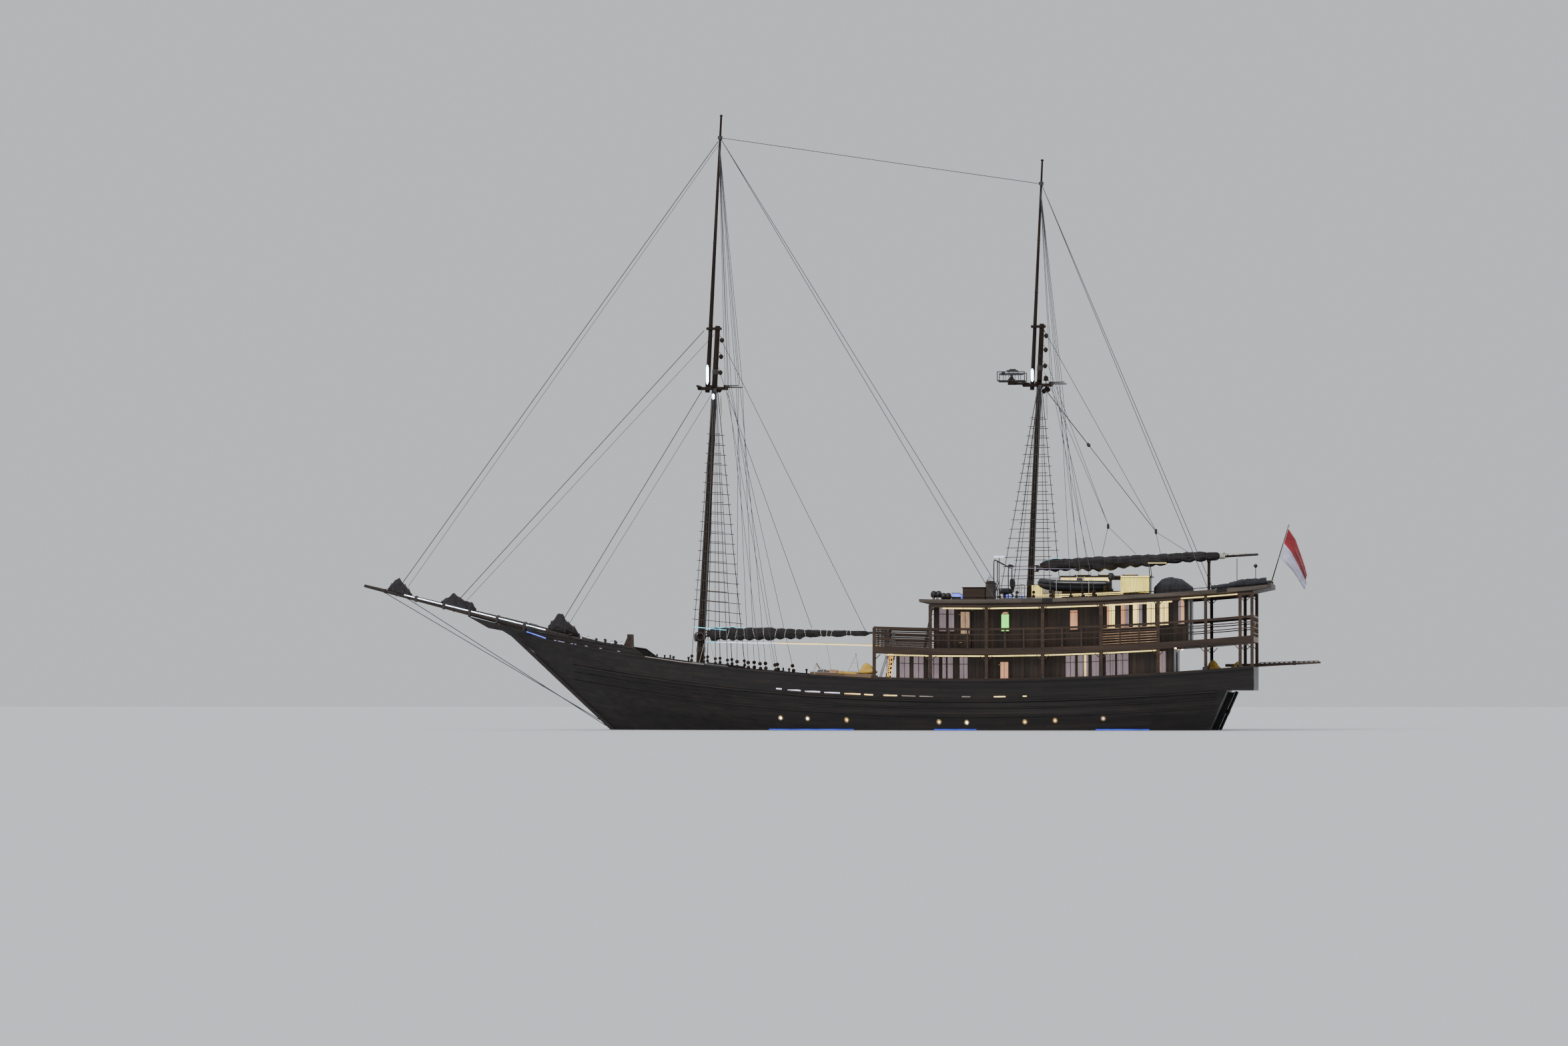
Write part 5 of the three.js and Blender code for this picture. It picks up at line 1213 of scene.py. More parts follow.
BAGS = [("bean_bag_fore_sewn", "bean_bag_fore", 0.94, 0.64, 0.06, 1.149, 0.235, 0.28),
        ("bean_bag_aft_sewn", "bean_bag_aft", -7.62, 0.50, -0.03, -7.759, 0.19, 0.27),
        ("bean_bag_small", None, -8.22, 0.52, -0.03, -8.36, 0.15, 0.18)]
for number, (name, solid, x, y, level, rest, radius, high) in enumerate(BAGS):
    spot, lean = at(x, y, sheer(rest) + level + 0.002), 0.03 - 0.02 * number
    bag = piece(name, [bean_bag(spot, radius, high, 0.4 * number, 3.0 * number, lean)], bag_cloth, smooth=180)
    if solid:
        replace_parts(bag, solid)
    loop = [spot + at(lean + off, 0, high + up)
            for off, up in ((-0.02, -0.01), (-0.01, 0.02), (0.01, 0.02), (0.02, -0.01))]
    piece(name + "_loop", [tube(loop, 0.004, 6)], pad_cloth, smooth=180)


def pad(x0, x1, y0, y1, thick, seed):
    rings = []
    long, wide = 30, 14
    shares = spread(0, 1, wide - 1)
    for i, x in enumerate(spread(x0, x1, long)):
        end = min(i, long - i) / long * 14
        ring = []
        for top, share in [(True, share) for share in shares] + [(False, 1 - share) for share in shares]:
            y = y0 + (y1 - y0) * share
            puff = min(1.0, min(end, min(share, 1 - share) * 14) * 0.8 + 0.25) ** 0.5
            button = 18 * math.sin(3 * math.pi * (x - x0) / (x1 - x0)) ** 2 + ((share - 0.5) * 5) ** 2
            tuft = 0.22 * math.exp(-button)
            soft = 1 + 0.10 * noise.noise(at(x * 5, y * 5, seed))
            up = thick * (0.45 + 0.55 * puff) * soft * (1 - tuft) if top else 0.004
            ring.append(at(x, y, sheer(x) + 0.061 + up))
        rings.append(ring)
    return skin(rings)


PADS = [(1.66, 1.20, 0.36, 0.86, 0.055, bag_cloth), (1.89, 1.71, 0.45, 0.63, 0.085, tan_cloth),
        (2.30, 1.62, -0.86, -0.36, 0.06, pad_cloth), (1.56, 0.90, -0.86, -0.36, 0.06, pad_cloth)]
for number, (x0, x1, y0, y1, thick, stuff) in enumerate(PADS):
    shape = pad(x0, x1, y0, y1, thick, number * 3.0)
    piece(f"trunk_pad_{number + 1}", [shape], stuff, smooth=60)
print("bags:", len(BAGS), "pads:", len(PADS))

# %% [markdown]
# A pale deck chair stands on the trunk, its back raised on a prop, and a slim stand of three steel legs is
# beside it. Such a chair is a frame wound with pale cord, so rows of thin cord between two rails make its
# seat and back.

# %% Deck chair, stand and deck fittings


def on_trunk(x, y, up):
    return at(x, y, sheer(x) + 0.062 + up)


CHAIR = [(2.30, 0.0), (2.235, 0.215), (2.15, 0.085), (2.02, 0.07)]
chair, sides = [], []
for y in (0.36, 0.70):
    heel, peak, seat, toe = [on_trunk(x, y, up) for x, up in CHAIR]
    chair += [bar(heel, peak, 0.016, 0.012), bar(peak, seat, 0.016, 0.014), bar(seat, toe, 0.016, 0.014),
              bar(toe, on_trunk(2.04, y, 0.0), 0.014, 0.014)]
    sides.append([(peak, seat, 7), (seat, toe, 6)])
for (a, b, count), (c, d, _) in zip(*sides):
    chair += [bar(a.lerp(b, i / count), c.lerp(d, i / count), 0.008, 0.016) for i in range(count + 1)]
piece("deck_chair", chair, pale_rope, bevel=0.002)
top = on_trunk(1.24, 0.52, 0.47)
stand = [tube([top, on_trunk(x, y, 0.0)], 0.007) for x, y in ((1.47, 0.52), (1.18, 0.66), (1.18, 0.38))]
stand += [tube([top, top + at(0.01, 0, 0.05)], 0.012, 10),
          hoop(top - above(0.20), (0, 0, 1), 0.05, 0.005, 16, 6)]
piece("stand_of_three_legs", stand, bright_steel, smooth=60)
both_sides("stair_lamp", [block((0.30, 1.32, 1.86), (0.36, 1.38, 1.93))], amber_pane, bevel=0.006)
bollards = []
for x in (7.4, 6.2, 3.4, -7.5, -8.2):
    out, z = deck_edge(x) - 0.06, sheer(x)
    bollards += [turned((x + off, out, z), (0, 0, 1), (-0.005, 0.07, 0.085), [0.022, 0.022, 0.032], 12)
                 for off in (-0.07, 0.07)]
    bollards.append(bar((x - 0.13, out, z + 0.004), (x + 0.13, out, z + 0.004), 0.07, 0.012))
both_sides("bollards", bollards, dark_iron, bevel=0.003)
print("bollards on each side:", len(bollards) // 3)

# %% [markdown]
# The houses have tall windows set in holes in the walls. Each gets a trim of thin boards on the outside and
# a lit pane behind, most have a cross bar, and the wider ones a middle bar too. A pane is a curtain in
# upright folds that glows where the lamp is behind it, so one window may be bright on one side and brown on
# the other. A window is given by its fore and aft edges, then by what glows in each share of its width.

# %% Windows of both houses
GREY = [(0, 1, grey_pane)]
MAIN_WINDOWS = [
    (0.060, -0.188, GREY), (-0.287, -0.535, GREY), (-0.650, -0.914, GREY), (-1.000, -1.085, GREY),
    (-1.129, -1.260, GREY), (-1.425, -1.623, GREY), (-4.041, -4.271, GREY),
    (-4.336, -4.599, [(0, 0.62, grey_pane), (0.62, 0.80, warm_pane), (0.8, 1, grey_pane)]),
    (-4.681, -4.861, GREY), (-5.025, -5.255, GREY),
    (-5.304, -5.582, [(0, 0.3, grey_pane), (0.42, 1, grey_pane)]),
    (-6.300, -6.500, [(0, 0.35, amber_pane), (0.35, 1, grey_pane)])]
UPPER_WINDOWS = [
    (-0.922, -1.087, GREY), (-1.153, -1.285, GREY), (-2.455, -2.637, [(0, 1, green_pane)]),
    (-4.149, -4.330, [(0, 1, amber_pane)]), (-5.052, -5.249, [(0, 0.25, amber_pane), (0.3, 1, lit_wall)]),
    (-5.397, -5.593, [(0, 0.6, amber_pane), (0.6, 1, grey_pane)]),
    (-5.692, -5.921, [(0, 0.6, lit_wall), (0.62, 1, grey_pane)]), (-6.036, -6.232, [(0, 1, lit_wall)]),
    (-6.347, -6.560, [(0, 0.8, lit_wall), (0.8, 1, warm_pane)]),
    (-6.805, -6.952, [(0, 0.5, grey_pane), (0.5, 1, amber_pane)])]
MAIN_LOW, MAIN_HIGH, UPPER_LOW, UPPER_HIGH = -0.05, 0.55, 1.19, 1.775
HOUSES = [(MAIN_HALF, MAIN_WINDOWS, MAIN_LOW, MAIN_HIGH), (UPPER_HALF, UPPER_WINDOWS, UPPER_LOW, UPPER_HIGH)]


def curtain(fore, aft, low, high, y, folds, deep):
    count = max(12, int(abs(fore - aft) * 160))
    rows = []
    for share in spread(0, 1, 6):
        lag = 0.5 * math.sin(3 * share)
        waves = [math.sin(2 * math.pi * folds * i / count + lag) for i in range(count + 1)]
        rows.append([at(x, y + deep * wave * (0.7 + 0.3 * share), sheer(x) + low + (high - low) * share)
                     for x, wave in zip(spread(fore, aft, count), waves)])
    return skin(rows, closed=False)


def window_trim(fore, aft, low, high, half, bars):
    deep, inside = (0.028, half + 0.020) if low > 1 else (0.016, half - 0.022)
    y = half + deep / 2
    shapes = [bar((x, y, sheer(x) + low - 0.03), (x, y, sheer(x) + high + 0.03), 0.028, deep)
              for x in (fore + 0.014, aft - 0.014)]
    for level, wide in ((low - 0.014, 0.034), (high + 0.014, 0.028)):
        shapes.append(bar((fore + 0.034, y + 0.003, sheer(fore) + level),
                          (aft - 0.034, y + 0.003, sheer(aft) + level), deep + 0.008, wide))
    if bars:
        cross = low + (high - low) * 0.72
        shapes.append(bar(*[(x, inside, sheer(x) + cross) for x in (fore, aft)], 0.012, 0.014))
        if abs(fore - aft) > 0.19:
            middle = (fore + aft) / 2
            shapes.append(bar(*[(middle, inside, sheer(middle) + z) for z in (low, high)], 0.012, 0.012))
    return shapes


trims, panes = [], {}
for half, windows, low, high in HOUSES:
    y, deep, top = (half + 0.010, 0.005, high) if low > 1 else (half - 0.036, 0.010, high + 0.01)
    for fore, aft, parts in windows:
        trims += window_trim(fore, aft, low, high, half, low > 1 or fore > -6.2)
        for start, stop, finish in parts:
            a, b = fore + (aft - fore) * start, fore + (aft - fore) * stop
            lit = curtain(a + 0.004, b - 0.004, low - 0.01, top, y, max(2, round(abs(a - b) * 26)), deep)
            panes.setdefault(finish, []).append(lit)
both_sides("window_trims", trims, frame_timber, bevel=0.002)
for finish, shapes in panes.items():
    both_sides("window_" + finish.name, shapes, finish, smooth=180)
print("windows on each side:", sum(len(house[1]) for house in HOUSES), "kinds of glow:", len(panes))

# %% [markdown]
# Two windows of the upper house have arched heads, each made by two small boards with a round edge at the top
# of the hole. Over the green and the amber pane a head board closes the hole, and a thin amber light shows
# under the first one. The front walls get lit panes too.

# %% Arched heads and end walls
heads = []
COVERED, LOW_TOP = [(-2.455, -2.637), (-4.149, -4.330)], 1.66
for fore, aft, head in ((-2.455, -2.637, LOW_TOP), (-6.805, -6.952, UPPER_HIGH)):
    middle, wide, top = (fore + aft) / 2, abs(fore - aft) / 2, sheer(fore) + head
    for side in (1, -1):
        outline = [at(middle + side * wide, 1.526, top), at(middle, 1.526, top)]
        outline += [at(middle + side * wide * math.sin(t), 1.526, top - wide * 0.8 * (1 - math.cos(t)))
                    for t in spread(0, math.pi / 2, 8)]
        heads.append(plate(outline, at(0, -0.012, 0)))
both_sides("arched_heads", heads, wall_timber, smooth=0)
both_sides("window_head_boards", [bar(*[(x, 1.524, sheer(x) + LOW_TOP + 0.06) for x in run], 0.012, 0.12)
                                  for run in COVERED], wall_timber)
ends = [(x, 1.5165, sheer(-2.546) + LOW_TOP - 0.03) for x in (-2.462, -2.630)]
both_sides("arched_light", [bar(*ends, 0.002, 0.06)], amber_pane)
END_PANES = [("main_front", -1.30, -0.70, grey_pane), ("main_front", -0.35, 0.35, warm_pane),
             ("upper_front", -1.30, -0.50, grey_pane), ("upper_front", -0.35, 0.35, lit_wall),
             ("upper_front", 0.50, 1.30, grey_pane)]
END_WALLS = {"main_front": (0.110, 0.00, 0.50), "upper_front": (-0.812, 1.34, 1.74)}
trims = []
for number, (wall, y0, y1, finish) in enumerate(END_PANES):
    x, low, high = END_WALLS[wall]
    z0, z1 = sheer(x) + low, sheer(x) + high
    folds = [at(x - 0.02 + 0.008 * math.sin(2 * math.pi * 14 * i / 60), y, 0)
             for i, y in enumerate(spread(y0, y1, 60))]
    rows = [[p + above(z) for p in folds] for z in spread(z0 - 0.01, z1 + 0.01, 5)]
    piece(f"{wall}_pane_{number + 1}", [skin(rows, closed=False)], finish, smooth=180)
    face = x + 0.040
    trims += [bar((face, y0 - 0.03, z), (face, y1 + 0.03, z), 0.016, 0.03) for z in (z0, z1)]
    trims += [bar((face - 0.004, y, z0 + 0.016), (face - 0.004, y, z1 - 0.016), 0.014, 0.028)
              for y in (y0, y1)]
    trims += [bar(*[(x + 0.012, y0 + (y1 - y0) * share, z) for z in (z0, z1)], 0.012, 0.012)
              for share in (0.33, 0.67)]
piece("end_wall_trims", trims, frame_timber, bevel=0.002)
print("panes in the end walls:", len(END_PANES))

# %% [markdown]
# The four side doors are hung on their fore edges. Each carries a tall lit pane, a frame of boards on both
# faces, and two hinge straps and a lever handle outside. All of these ride on the door, so they open with it.
# The boards of the doorway stay on the house.

# %% Doors
DOORS = {"main_door": (MAIN_HALF, -2.370, -2.690, DECK + 0.031, DECK + 0.954, amber_pane),
         "upper_door": (UPPER_HALF, -1.384, -1.730, FLOOR + 0.031, FLOOR + 1.004, lit_board)}
door_trims = []
for name, (half, fore, aft, low, high, finish) in DOORS.items():
    outer, near, far = half - 0.002, fore - 0.045, aft + 0.045
    bottom, top = sheer(fore) + low, sheer(fore) + high
    glass = [block((far + 0.02, outer - 0.001, bottom + 0.36), (near - 0.02, outer + 0.003, top - 0.07))]
    boards = []
    for y in (outer + 0.005, half - 0.037):
        boards += [bar((x, y, bottom + 0.02), (x, y, top - 0.02), 0.036, 0.012)
                   for x in (fore - 0.024, aft + 0.030)]
        boards += [bar((near + 0.004, y, z), (far - 0.002, y, z), 0.012, 0.05)
                   for z in (bottom + 0.04, bottom + 0.33, top - 0.05)]
    middle = [((near + far) / 2, outer + 0.006, z) for z in (bottom + 0.36, top - 0.07)]
    boards.append(bar(*middle, 0.012, 0.010))
    lever = [(aft + in_, outer + out, bottom + up) for in_, out, up in
             ((0.035, 0.010, 0.45), (0.035, 0.030, 0.45), (0.075, 0.032, 0.452), (0.105, 0.030, 0.45))]
    fittings = [tube(lever, 0.006)]
    fittings += [bar((fore - 0.01, outer + 0.014, z), (fore - 0.09, outer + 0.014, z), 0.005, 0.02)
                 for z in (bottom + 0.14, top - 0.14)]
    for side, way in (("port", list), ("starboard", mirrored)):
        body = f"{name}_{side}"
        piece(f"{body}_pane", way(glass), finish, body=body)
        piece(f"{body}_frame", way(boards), frame_timber, body=body, bevel=0.002)
        piece(f"{body}_fittings", way(fittings), screw_bronze, body=body, bevel=0.001)
    head = sheer(aft) + high + 0.022
    door_trims += [bar((x, half + 0.007, bottom - 0.02), (x, half + 0.007, head), wide, 0.014)
                   for x, wide in ((fore + 0.037, 0.024), (aft - 0.020, 0.030))]
    lintel = [(x, half + 0.010, head + 0.012) for x in (fore + 0.050, aft - 0.036)]
    door_trims.append(bar(*lintel, 0.02, 0.036))
both_sides("door_trims", door_trims, frame_timber, bevel=0.002)
print("doors dressed:", 2 * len(DOORS))

# %% [markdown]
# Light strips hang inside the side galleries, one run in each bay between two posts: a row under the upper
# deck and a row under the roof. Iron loops hold them up. Two thinner runs at the after end lie just outside
# the line of the posts.

# %% Gallery light strips
POST, STRIP_IN = 0.04, 0.050
LOWER_STRIP, UPPER_STRIP, AFTER_STRIP = 0.577, 1.748, 1.805
bays = list(zip(POSTS, POSTS[1:]))
lower_runs = [(0.36, POSTS[1] + POST)] + [(a - POST, b + POST) for a, b in bays[1:5]]
upper_runs = [(-1.02, POSTS[2] + POST)] + [(a - POST, b + POST) for a, b in bays[2:5]]
upper_runs.append((POSTS[5] - POST, -6.68))
after_runs = [(-6.89, -7.45), (-7.53, -8.27)]
for name, runs, level, inside, past, thick in (("lower", lower_runs, LOWER_STRIP, STRIP_IN, 0.01, 0.017),
                                               ("upper", upper_runs, UPPER_STRIP, STRIP_IN, 0.01, 0.017),
                                               ("after", after_runs, AFTER_STRIP, -0.012, 0.0, 0.014)):
    both_sides(f"{name}_light_strips", [tube(on_gallery(spread(a - past, b + past, 6), inside, level), thick)
                                        for a, b in runs], lit_wall)
holders = [hoop(on_gallery([a + (b - a) * share], STRIP_IN, level)[0], (1, 0, 0), 0.019, 0.004, 12, 5)
           for runs, level in ((lower_runs, LOWER_STRIP), (upper_runs, UPPER_STRIP)) for a, b in runs
           for share in (0.02, 0.5, 0.98)]
both_sides("strip_holders", holders, dark_iron)
print("light strips on each side:", len(lower_runs) + len(upper_runs) + len(after_runs))

# %% [markdown]
# The gallery's rail is three thin bars in the imported solid. A handrail on top, brackets at the posts,
# uprights between them, a bead along the deck's edge and iron shoes make it read as joinery. Where the after
# saloon is brightest, thin boards behind the rail glow with painted light, the saloon's light falling on them.

# %% Gallery joinery
# These boards are no lamps; their glow is painted light.
lit_run = spread(POSTS[4] - 0.02, POSTS[5] + POST, 2)
lit_boards = [tube(on_gallery(lit_run, 0.090, 0.80 + 0.062 * i), 0.007, 6) for i in range(8)]
both_sides("lit_boards", lit_boards, lit_board)
joinery = []
for a, b in bays:
    for x, way in ((a - POST, -1), (b + POST, 1)):
        for level in (0.60, 1.835):
            if level < 1 or a < -0.5:
                low, high = on_gallery([x], 0.04, level - 0.13)[0], on_gallery([x], 0.04, level - 0.02)[0]
                joinery.append(bar(low, at(*high) + at(way * 0.11, 0, 0), 0.03, 0.02))
    joinery.append(tube(on_gallery(spread(a, b, 4), 0.04, FLOOR + 0.508), 0.020))
    joinery.append(tube(on_gallery(spread(a, b, 4), -0.004, 0.62), 0.012, 6))
    if -0.5 > a > -5.0:
        joinery += [bar(*[on_gallery([x], 0.036, FLOOR + up)[0] for up in (0.002, 0.50)], 0.090, 0.040)
                    for x in (a + (b - a) / 3, a + (b - a) * 2 / 3)]
both_sides("gallery_joinery", joinery, frame_timber, bevel=0.002)
shoes = [block((x - 0.046, gallery_y(x) - 0.086, sheer(x) + 0.002),
               (x + 0.046, gallery_y(x) + 0.008, sheer(x) + 0.06)) for x in POSTS[1:-1]]
both_sides("post_shoes", shoes, dark_iron, bevel=0.003)
print("joinery pieces:", len(joinery))

# %% [markdown]
# The rail round the fore end of the upper deck is nearly closed by thin dark boards laid one above the other.
# The after rail has slender balusters. A lattice screen stands where the stair comes up through the deck, its
# bars glowing orange with painted light for the stair's light on them.

# %% Rails across the deck and the stair screen
boards, balusters = [], []
reach = gallery_y(0.64) - 0.10
for up in [FLOOR + 0.035 + 0.045 * i for i in range(10)]:
    board = on_gallery((0.60, -0.05, -0.70), 0.088, up)
    boards += [tube([(x, side * y, z) for x, y, z in board], 0.015, 4) for side in (1, -1)]
    boards.append(bar((0.645, -reach, sheer(0.64) + up), (0.645, reach, sheer(0.64) + up), 0.014, 0.030))
for x, half, count in ((0.643, reach, 6), (-8.643, gallery_y(-8.64) - 0.10, 22)):
    level = sheer(x) + FLOOR
    balusters += [bar((x, y, level + 0.005), (x, y, level + 0.49), 0.012, 0.012)
                  for y in spread(-half, half, count)]
    balusters.append(tube([(x, -half, level + 0.512), (x, half, level + 0.512)], 0.020))
piece("fore_rail_boards", boards, frame_timber)
piece("cross_rail_balusters", balusters, frame_timber)
# Painted light: the screen's bars glow orange for the light of the stair on them; they are no lamp.
screen = [bar((0.31 - off, 1.612, 1.90), (0.37 - off, 1.612, 1.26), 0.012, 0.010)
          for off in (0.0, 0.045, 0.10)]
for i in range(12):
    x, z = 0.36 - 0.005 * i, 1.29 + 0.052 * i
    screen.append(bar((x, 1.615, z), (x - 0.10, 1.615, z + (0.03 if i % 2 else -0.01)), 0.010, 0.012))
both_sides("stair_screen", screen, orange_painted_light)
stair_rails = []
for y in (0.855, 1.265):
    foot, head = at(0.60, y, sheer(0.56) + DECK + 0.42), at(0.24, y, sheer(0.3) + FLOOR + 0.42)
    stair_rails.append(tube([foot, head], 0.014))
    stair_rails += [tube([spot, spot - at(0.02, 0, 0.40)], 0.010, 6)
                    for spot in [foot.lerp(head, share) for share in (0.0, 0.5, 0.98)]]
piece("stair_rails", stair_rails, bright_steel)
both_sides("deck_edge_lamp", [ball((-6.753, 1.93, 2.024), 0.03, 8, 14)], warm_lamp, smooth=180)
print("boards in the fore rail:", len(boards))

# %% [markdown]
# The gangway runs out over the stern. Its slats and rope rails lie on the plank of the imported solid.

# %% Gangway
GANGWAY_FORE, GANGWAY_AFT, SLAT_STEP = -8.75, -10.2, 0.121
PLANK_FORE, PLANK_AFT, PLANK_LOW, PLANK_HIGH = -8.70, -10.25, 1.647, 1.695


def plank_top(x):
    return PLANK_LOW + (x - PLANK_FORE) / (PLANK_AFT - PLANK_FORE) * (PLANK_HIGH - PLANK_LOW)


slats = [bar((x, -0.12, plank_top(x) + 0.005), (x, 0.12, plank_top(x) + 0.005), 0.04, 0.012)
         for x in [GANGWAY_FORE - SLAT_STEP * i for i in range(13)]]
ropes = [tube([(x, y, plank_top(x) + 0.02) for x in (GANGWAY_FORE, GANGWAY_AFT)], 0.010, 6)
         for y in (-0.122, 0.122)]
piece("gangway_slats", slats + ropes, roof_timber, bevel=0.002)
print("gangway slats:", len(slats))

# %% [markdown]
# A lit skylight house stands on the roof and glows yellow-white behind the tender. Its fore half has
# curtained panes under a broad lit band. Its after half is covered by one folded curtain, and a strip lights
# its foot.

# %% The skylight house
SKY_HALF, SKY_TOP, HATCHES = 0.50, 3.81, (-4.37, -4.95, -5.55)
PANES = [(-3.97, -4.33), (-4.51, -4.87)]


def lit_curtain(fore, aft, low, high, y, waves):
    rows = []
    for level, z in enumerate(spread(low, high, 4)):
        turns = [2 * math.pi * waves * i / 80 + level / 4 + math.sin(i * 0.21) for i in range(81)]
        rows.append([at(x, y + 0.016 * math.sin(turn), z) for x, turn in zip(spread(fore, aft, 80), turns)])
    return skin(rows, closed=False)


sky_frames = []
for fore, aft in PANES + [(-5.05, -5.41), (-5.59, -5.95)]:
    sky_frames += [bar(*[(x, SKY_HALF + 0.006, z) for z in (3.42, 3.76)], 0.026, 0.014)
                   for x in (fore + 0.006, aft - 0.006)]
    sky_frames += [bar(*[(x, SKY_HALF + 0.009, z) for x in (fore + 0.02, aft - 0.02)], 0.018, 0.026)
                   for z in (3.434, 3.746)]
curtains = [lit_curtain(fore, aft, 3.43, 3.75, SKY_HALF - 0.030, 7) for fore, aft in PANES]
curtains.append(lit_curtain(-5.34, -6.04, 3.40, 3.775, SKY_HALF + 0.032, 9))
both_sides("skylight_curtains", curtains, lit_curtain_cloth, smooth=180)
both_sides("skylight_frames", sky_frames, frame_timber, bevel=0.002)
foot_strip = [(x, SKY_HALF + 0.065, roof_at(x) + 0.085) for x in (-3.25, -3.9, -4.6, -5.4)]
both_sides("skylight_foot_strip", [tube(foot_strip, 0.034)], lit_wall)
top_strips = [block((-5.05, SKY_HALF + 0.012, 3.665), (-3.86, SKY_HALF + 0.035, 3.775)),
              block((-6.05, SKY_HALF + 0.062, 3.785), (-5.34, SKY_HALF + 0.068, 3.815))]
both_sides("skylight_top_strip", top_strips, lit_wall, bevel=0.003)
mast_foot = [block((-3.33, 0.46, 3.29), (-3.13, 0.50, 3.59))]
both_sides("mast_foot_light", mast_foot, lit_curtain_cloth, bevel=0.004)
for name, long, wide, low, high, finish, bevel in (
        ("skylight_hatches", 0.19, 0.30, 0.012, 0.045, roof_timber, 0.008),
        ("skylight_hatch_glass", 0.13, 0.22, 0.040, 0.050, lit_wall, 0.002)):
    lids = [block((x - long, -wide, SKY_TOP + low), (x + long, wide, SKY_TOP + high)) for x in HATCHES]
    piece(name, lids, finish, bevel=bevel)
both_sides("skylight_end_lamp", [block((-6.47, 0.44, 4.125), (-6.01, 0.47, 4.145))], lit_wall)
lamp_arm = [bar((-6.05, 0.455, SKY_TOP), (-6.03, 0.455, 4.125), 0.02, 0.02)]
both_sides("skylight_end_lamp_arm", lamp_arm, dark_iron)
print("curtains and lit strips on each side of the skylight:", len(curtains) + 1 + len(top_strips))

# %% [markdown]
# The tender is a rigid hull with a fat air tube round its gunwale. It sits in chocks beside the skylight.
# Inside are thwarts, a console with a wheel and a floor, and an outboard motor hangs on the transom. It is
# drawn about its own middle line, and then set to its place on the roof.

# %% The tender
TENDER_Y, TENDER_TOP, TUBE = 1.01, 3.68, 0.062


def in_tender(x, y, z):
    return at(x, TENDER_Y + y, z)


def tender_block(x0, x1, half, low, high):
    return block(in_tender(x0, -half, low), in_tender(x1, half, high))


HULL_ROWS = [(-3.30, 0.03, 3.58, TENDER_TOP), (-3.42, 0.16, 3.48, 3.66), (-3.60, 0.24, 3.43, 3.65),
             (-4.00, 0.29, 3.395, 3.63), (-4.70, 0.30, 3.395, 3.62), (-5.02, 0.29, 3.41, 3.62)]
rings = []
for x, half, keel, top in HULL_ROWS:
    high, low = keel + (top - keel) * 0.55, keel + (top - keel) * 0.22
    shape = [(-1, top), (-1, high), (-0.75, low), (0, keel), (0.75, low), (1, high), (1, top), (0.9, top),
             (0.7, keel + 0.13), (0, keel + 0.12), (-0.7, keel + 0.13), (-0.9, top)]
    rings.append([in_tender(x, half * share, z) for share, z in shape])
tender_hull = piece("tender_hull", [skin(rings)], tender_skin, smooth=50, rounds=1)
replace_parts(tender_hull, "tender")
TUBE_PATH = [(-5.13, 0.285, 3.625), (-4.9, 0.30, 3.625), (-4.4, 0.305, 3.63), (-3.95, 0.29, 3.64),
             (-3.66, 0.235, 3.66), (-3.46, 0.15, 3.675), (-3.37, 0.0, TENDER_TOP)]
whole = [in_tender(*p) for p in TUBE_PATH] + [in_tender(x, -y, z) for x, y, z in reversed(TUBE_PATH[:-1])]
path = [whole[0]]
for a, b, c in zip(whole, whole[1:], whole[2:]):
    start, end = (a + b) / 2, (b + c) / 2
    path += [start * (1 - t) ** 2 + b * (2 * t * (1 - t)) + end * t ** 2 for t in (0.0, 0.33, 0.66)]
path.append(whole[-1])
piece("tender_tube", [tube(path, [0.03] + [TUBE] * (len(path) - 2) + [0.03], 18)], tender_skin, smooth=180)
strake = []
for p in path[1:-1]:
    out = p.y - TENDER_Y
    strake.append(p + at(TUBE * (1 - abs(out) / 0.2) if p.x > -3.5 else 0.0, out * 0.215, 0))
piece("tender_strake", [tube(strake, 0.010, 6)], pad_cloth, smooth=180)
piece("tender_seats", [tender_block(-4.02, -3.88, 0.23, 3.58, 3.605),
                       tender_block(-4.86, -4.70, 0.23, 3.58, 3.61)], pad_cloth, bevel=0.010)
piece("tender_console", [tender_block(-4.42, -4.28, 0.09, 3.52, 3.76)], radar_case, bevel=0.015)
wheel = [hoop(in_tender(-4.455, 0, 3.74), (1, 0, 0.35), 0.055, 0.007, 20, 6),
         tube([in_tender(-4.42, 0, 3.73), in_tender(-4.457, 0, 3.745)], 0.009)]
wheel += [tube([in_tender(-4.30, y, 3.76), in_tender(-4.27, y, 3.825)], 0.006, 6) for y in (-0.08, 0.08)]
wheel.append(tube([in_tender(-4.27, y, 3.825) for y in (-0.08, 0.08)], 0.006, 6))
piece("tender_wheel", wheel, bright_steel)
COWL = [(3.715, 0.035, -5.155, -5.075), (3.735, 0.055, -5.19, -5.06), (3.82, 0.060, -5.20, -5.055),
        (3.865, 0.050, -5.185, -5.065), (3.885, 0.022, -5.15, -5.09)]
cowl = []
for z, half, x0, x1 in COWL:
    squared = [(t, 1 + 0.15 * abs(math.sin(2 * t))) for t in circle(24)]
    cowl.append([in_tender((x0 + x1) / 2 + (x1 - x0) / 2 * math.cos(t) * grow, half * math.sin(t) * grow, z)
                 for t, grow in squared])
motor = [skin(cowl), tender_block(-5.15, -5.09, 0.02, 3.46, 3.72),
         tender_block(-5.20, -5.07, 0.045, 3.495, 3.507),
         turned(in_tender(0, 0, 3.46), (1, 0, 0), (-5.19, -5.16, -5.06, -5.03),
                [0.010, 0.026, 0.026, 0.008], 14),
         bar(in_tender(-5.055, 0, 3.62), in_tender(-4.99, 0, 3.66), 0.09, 0.02)]
piece("tender_motor", motor, dark_iron, bevel=0.004)
chocks, straps = [], []
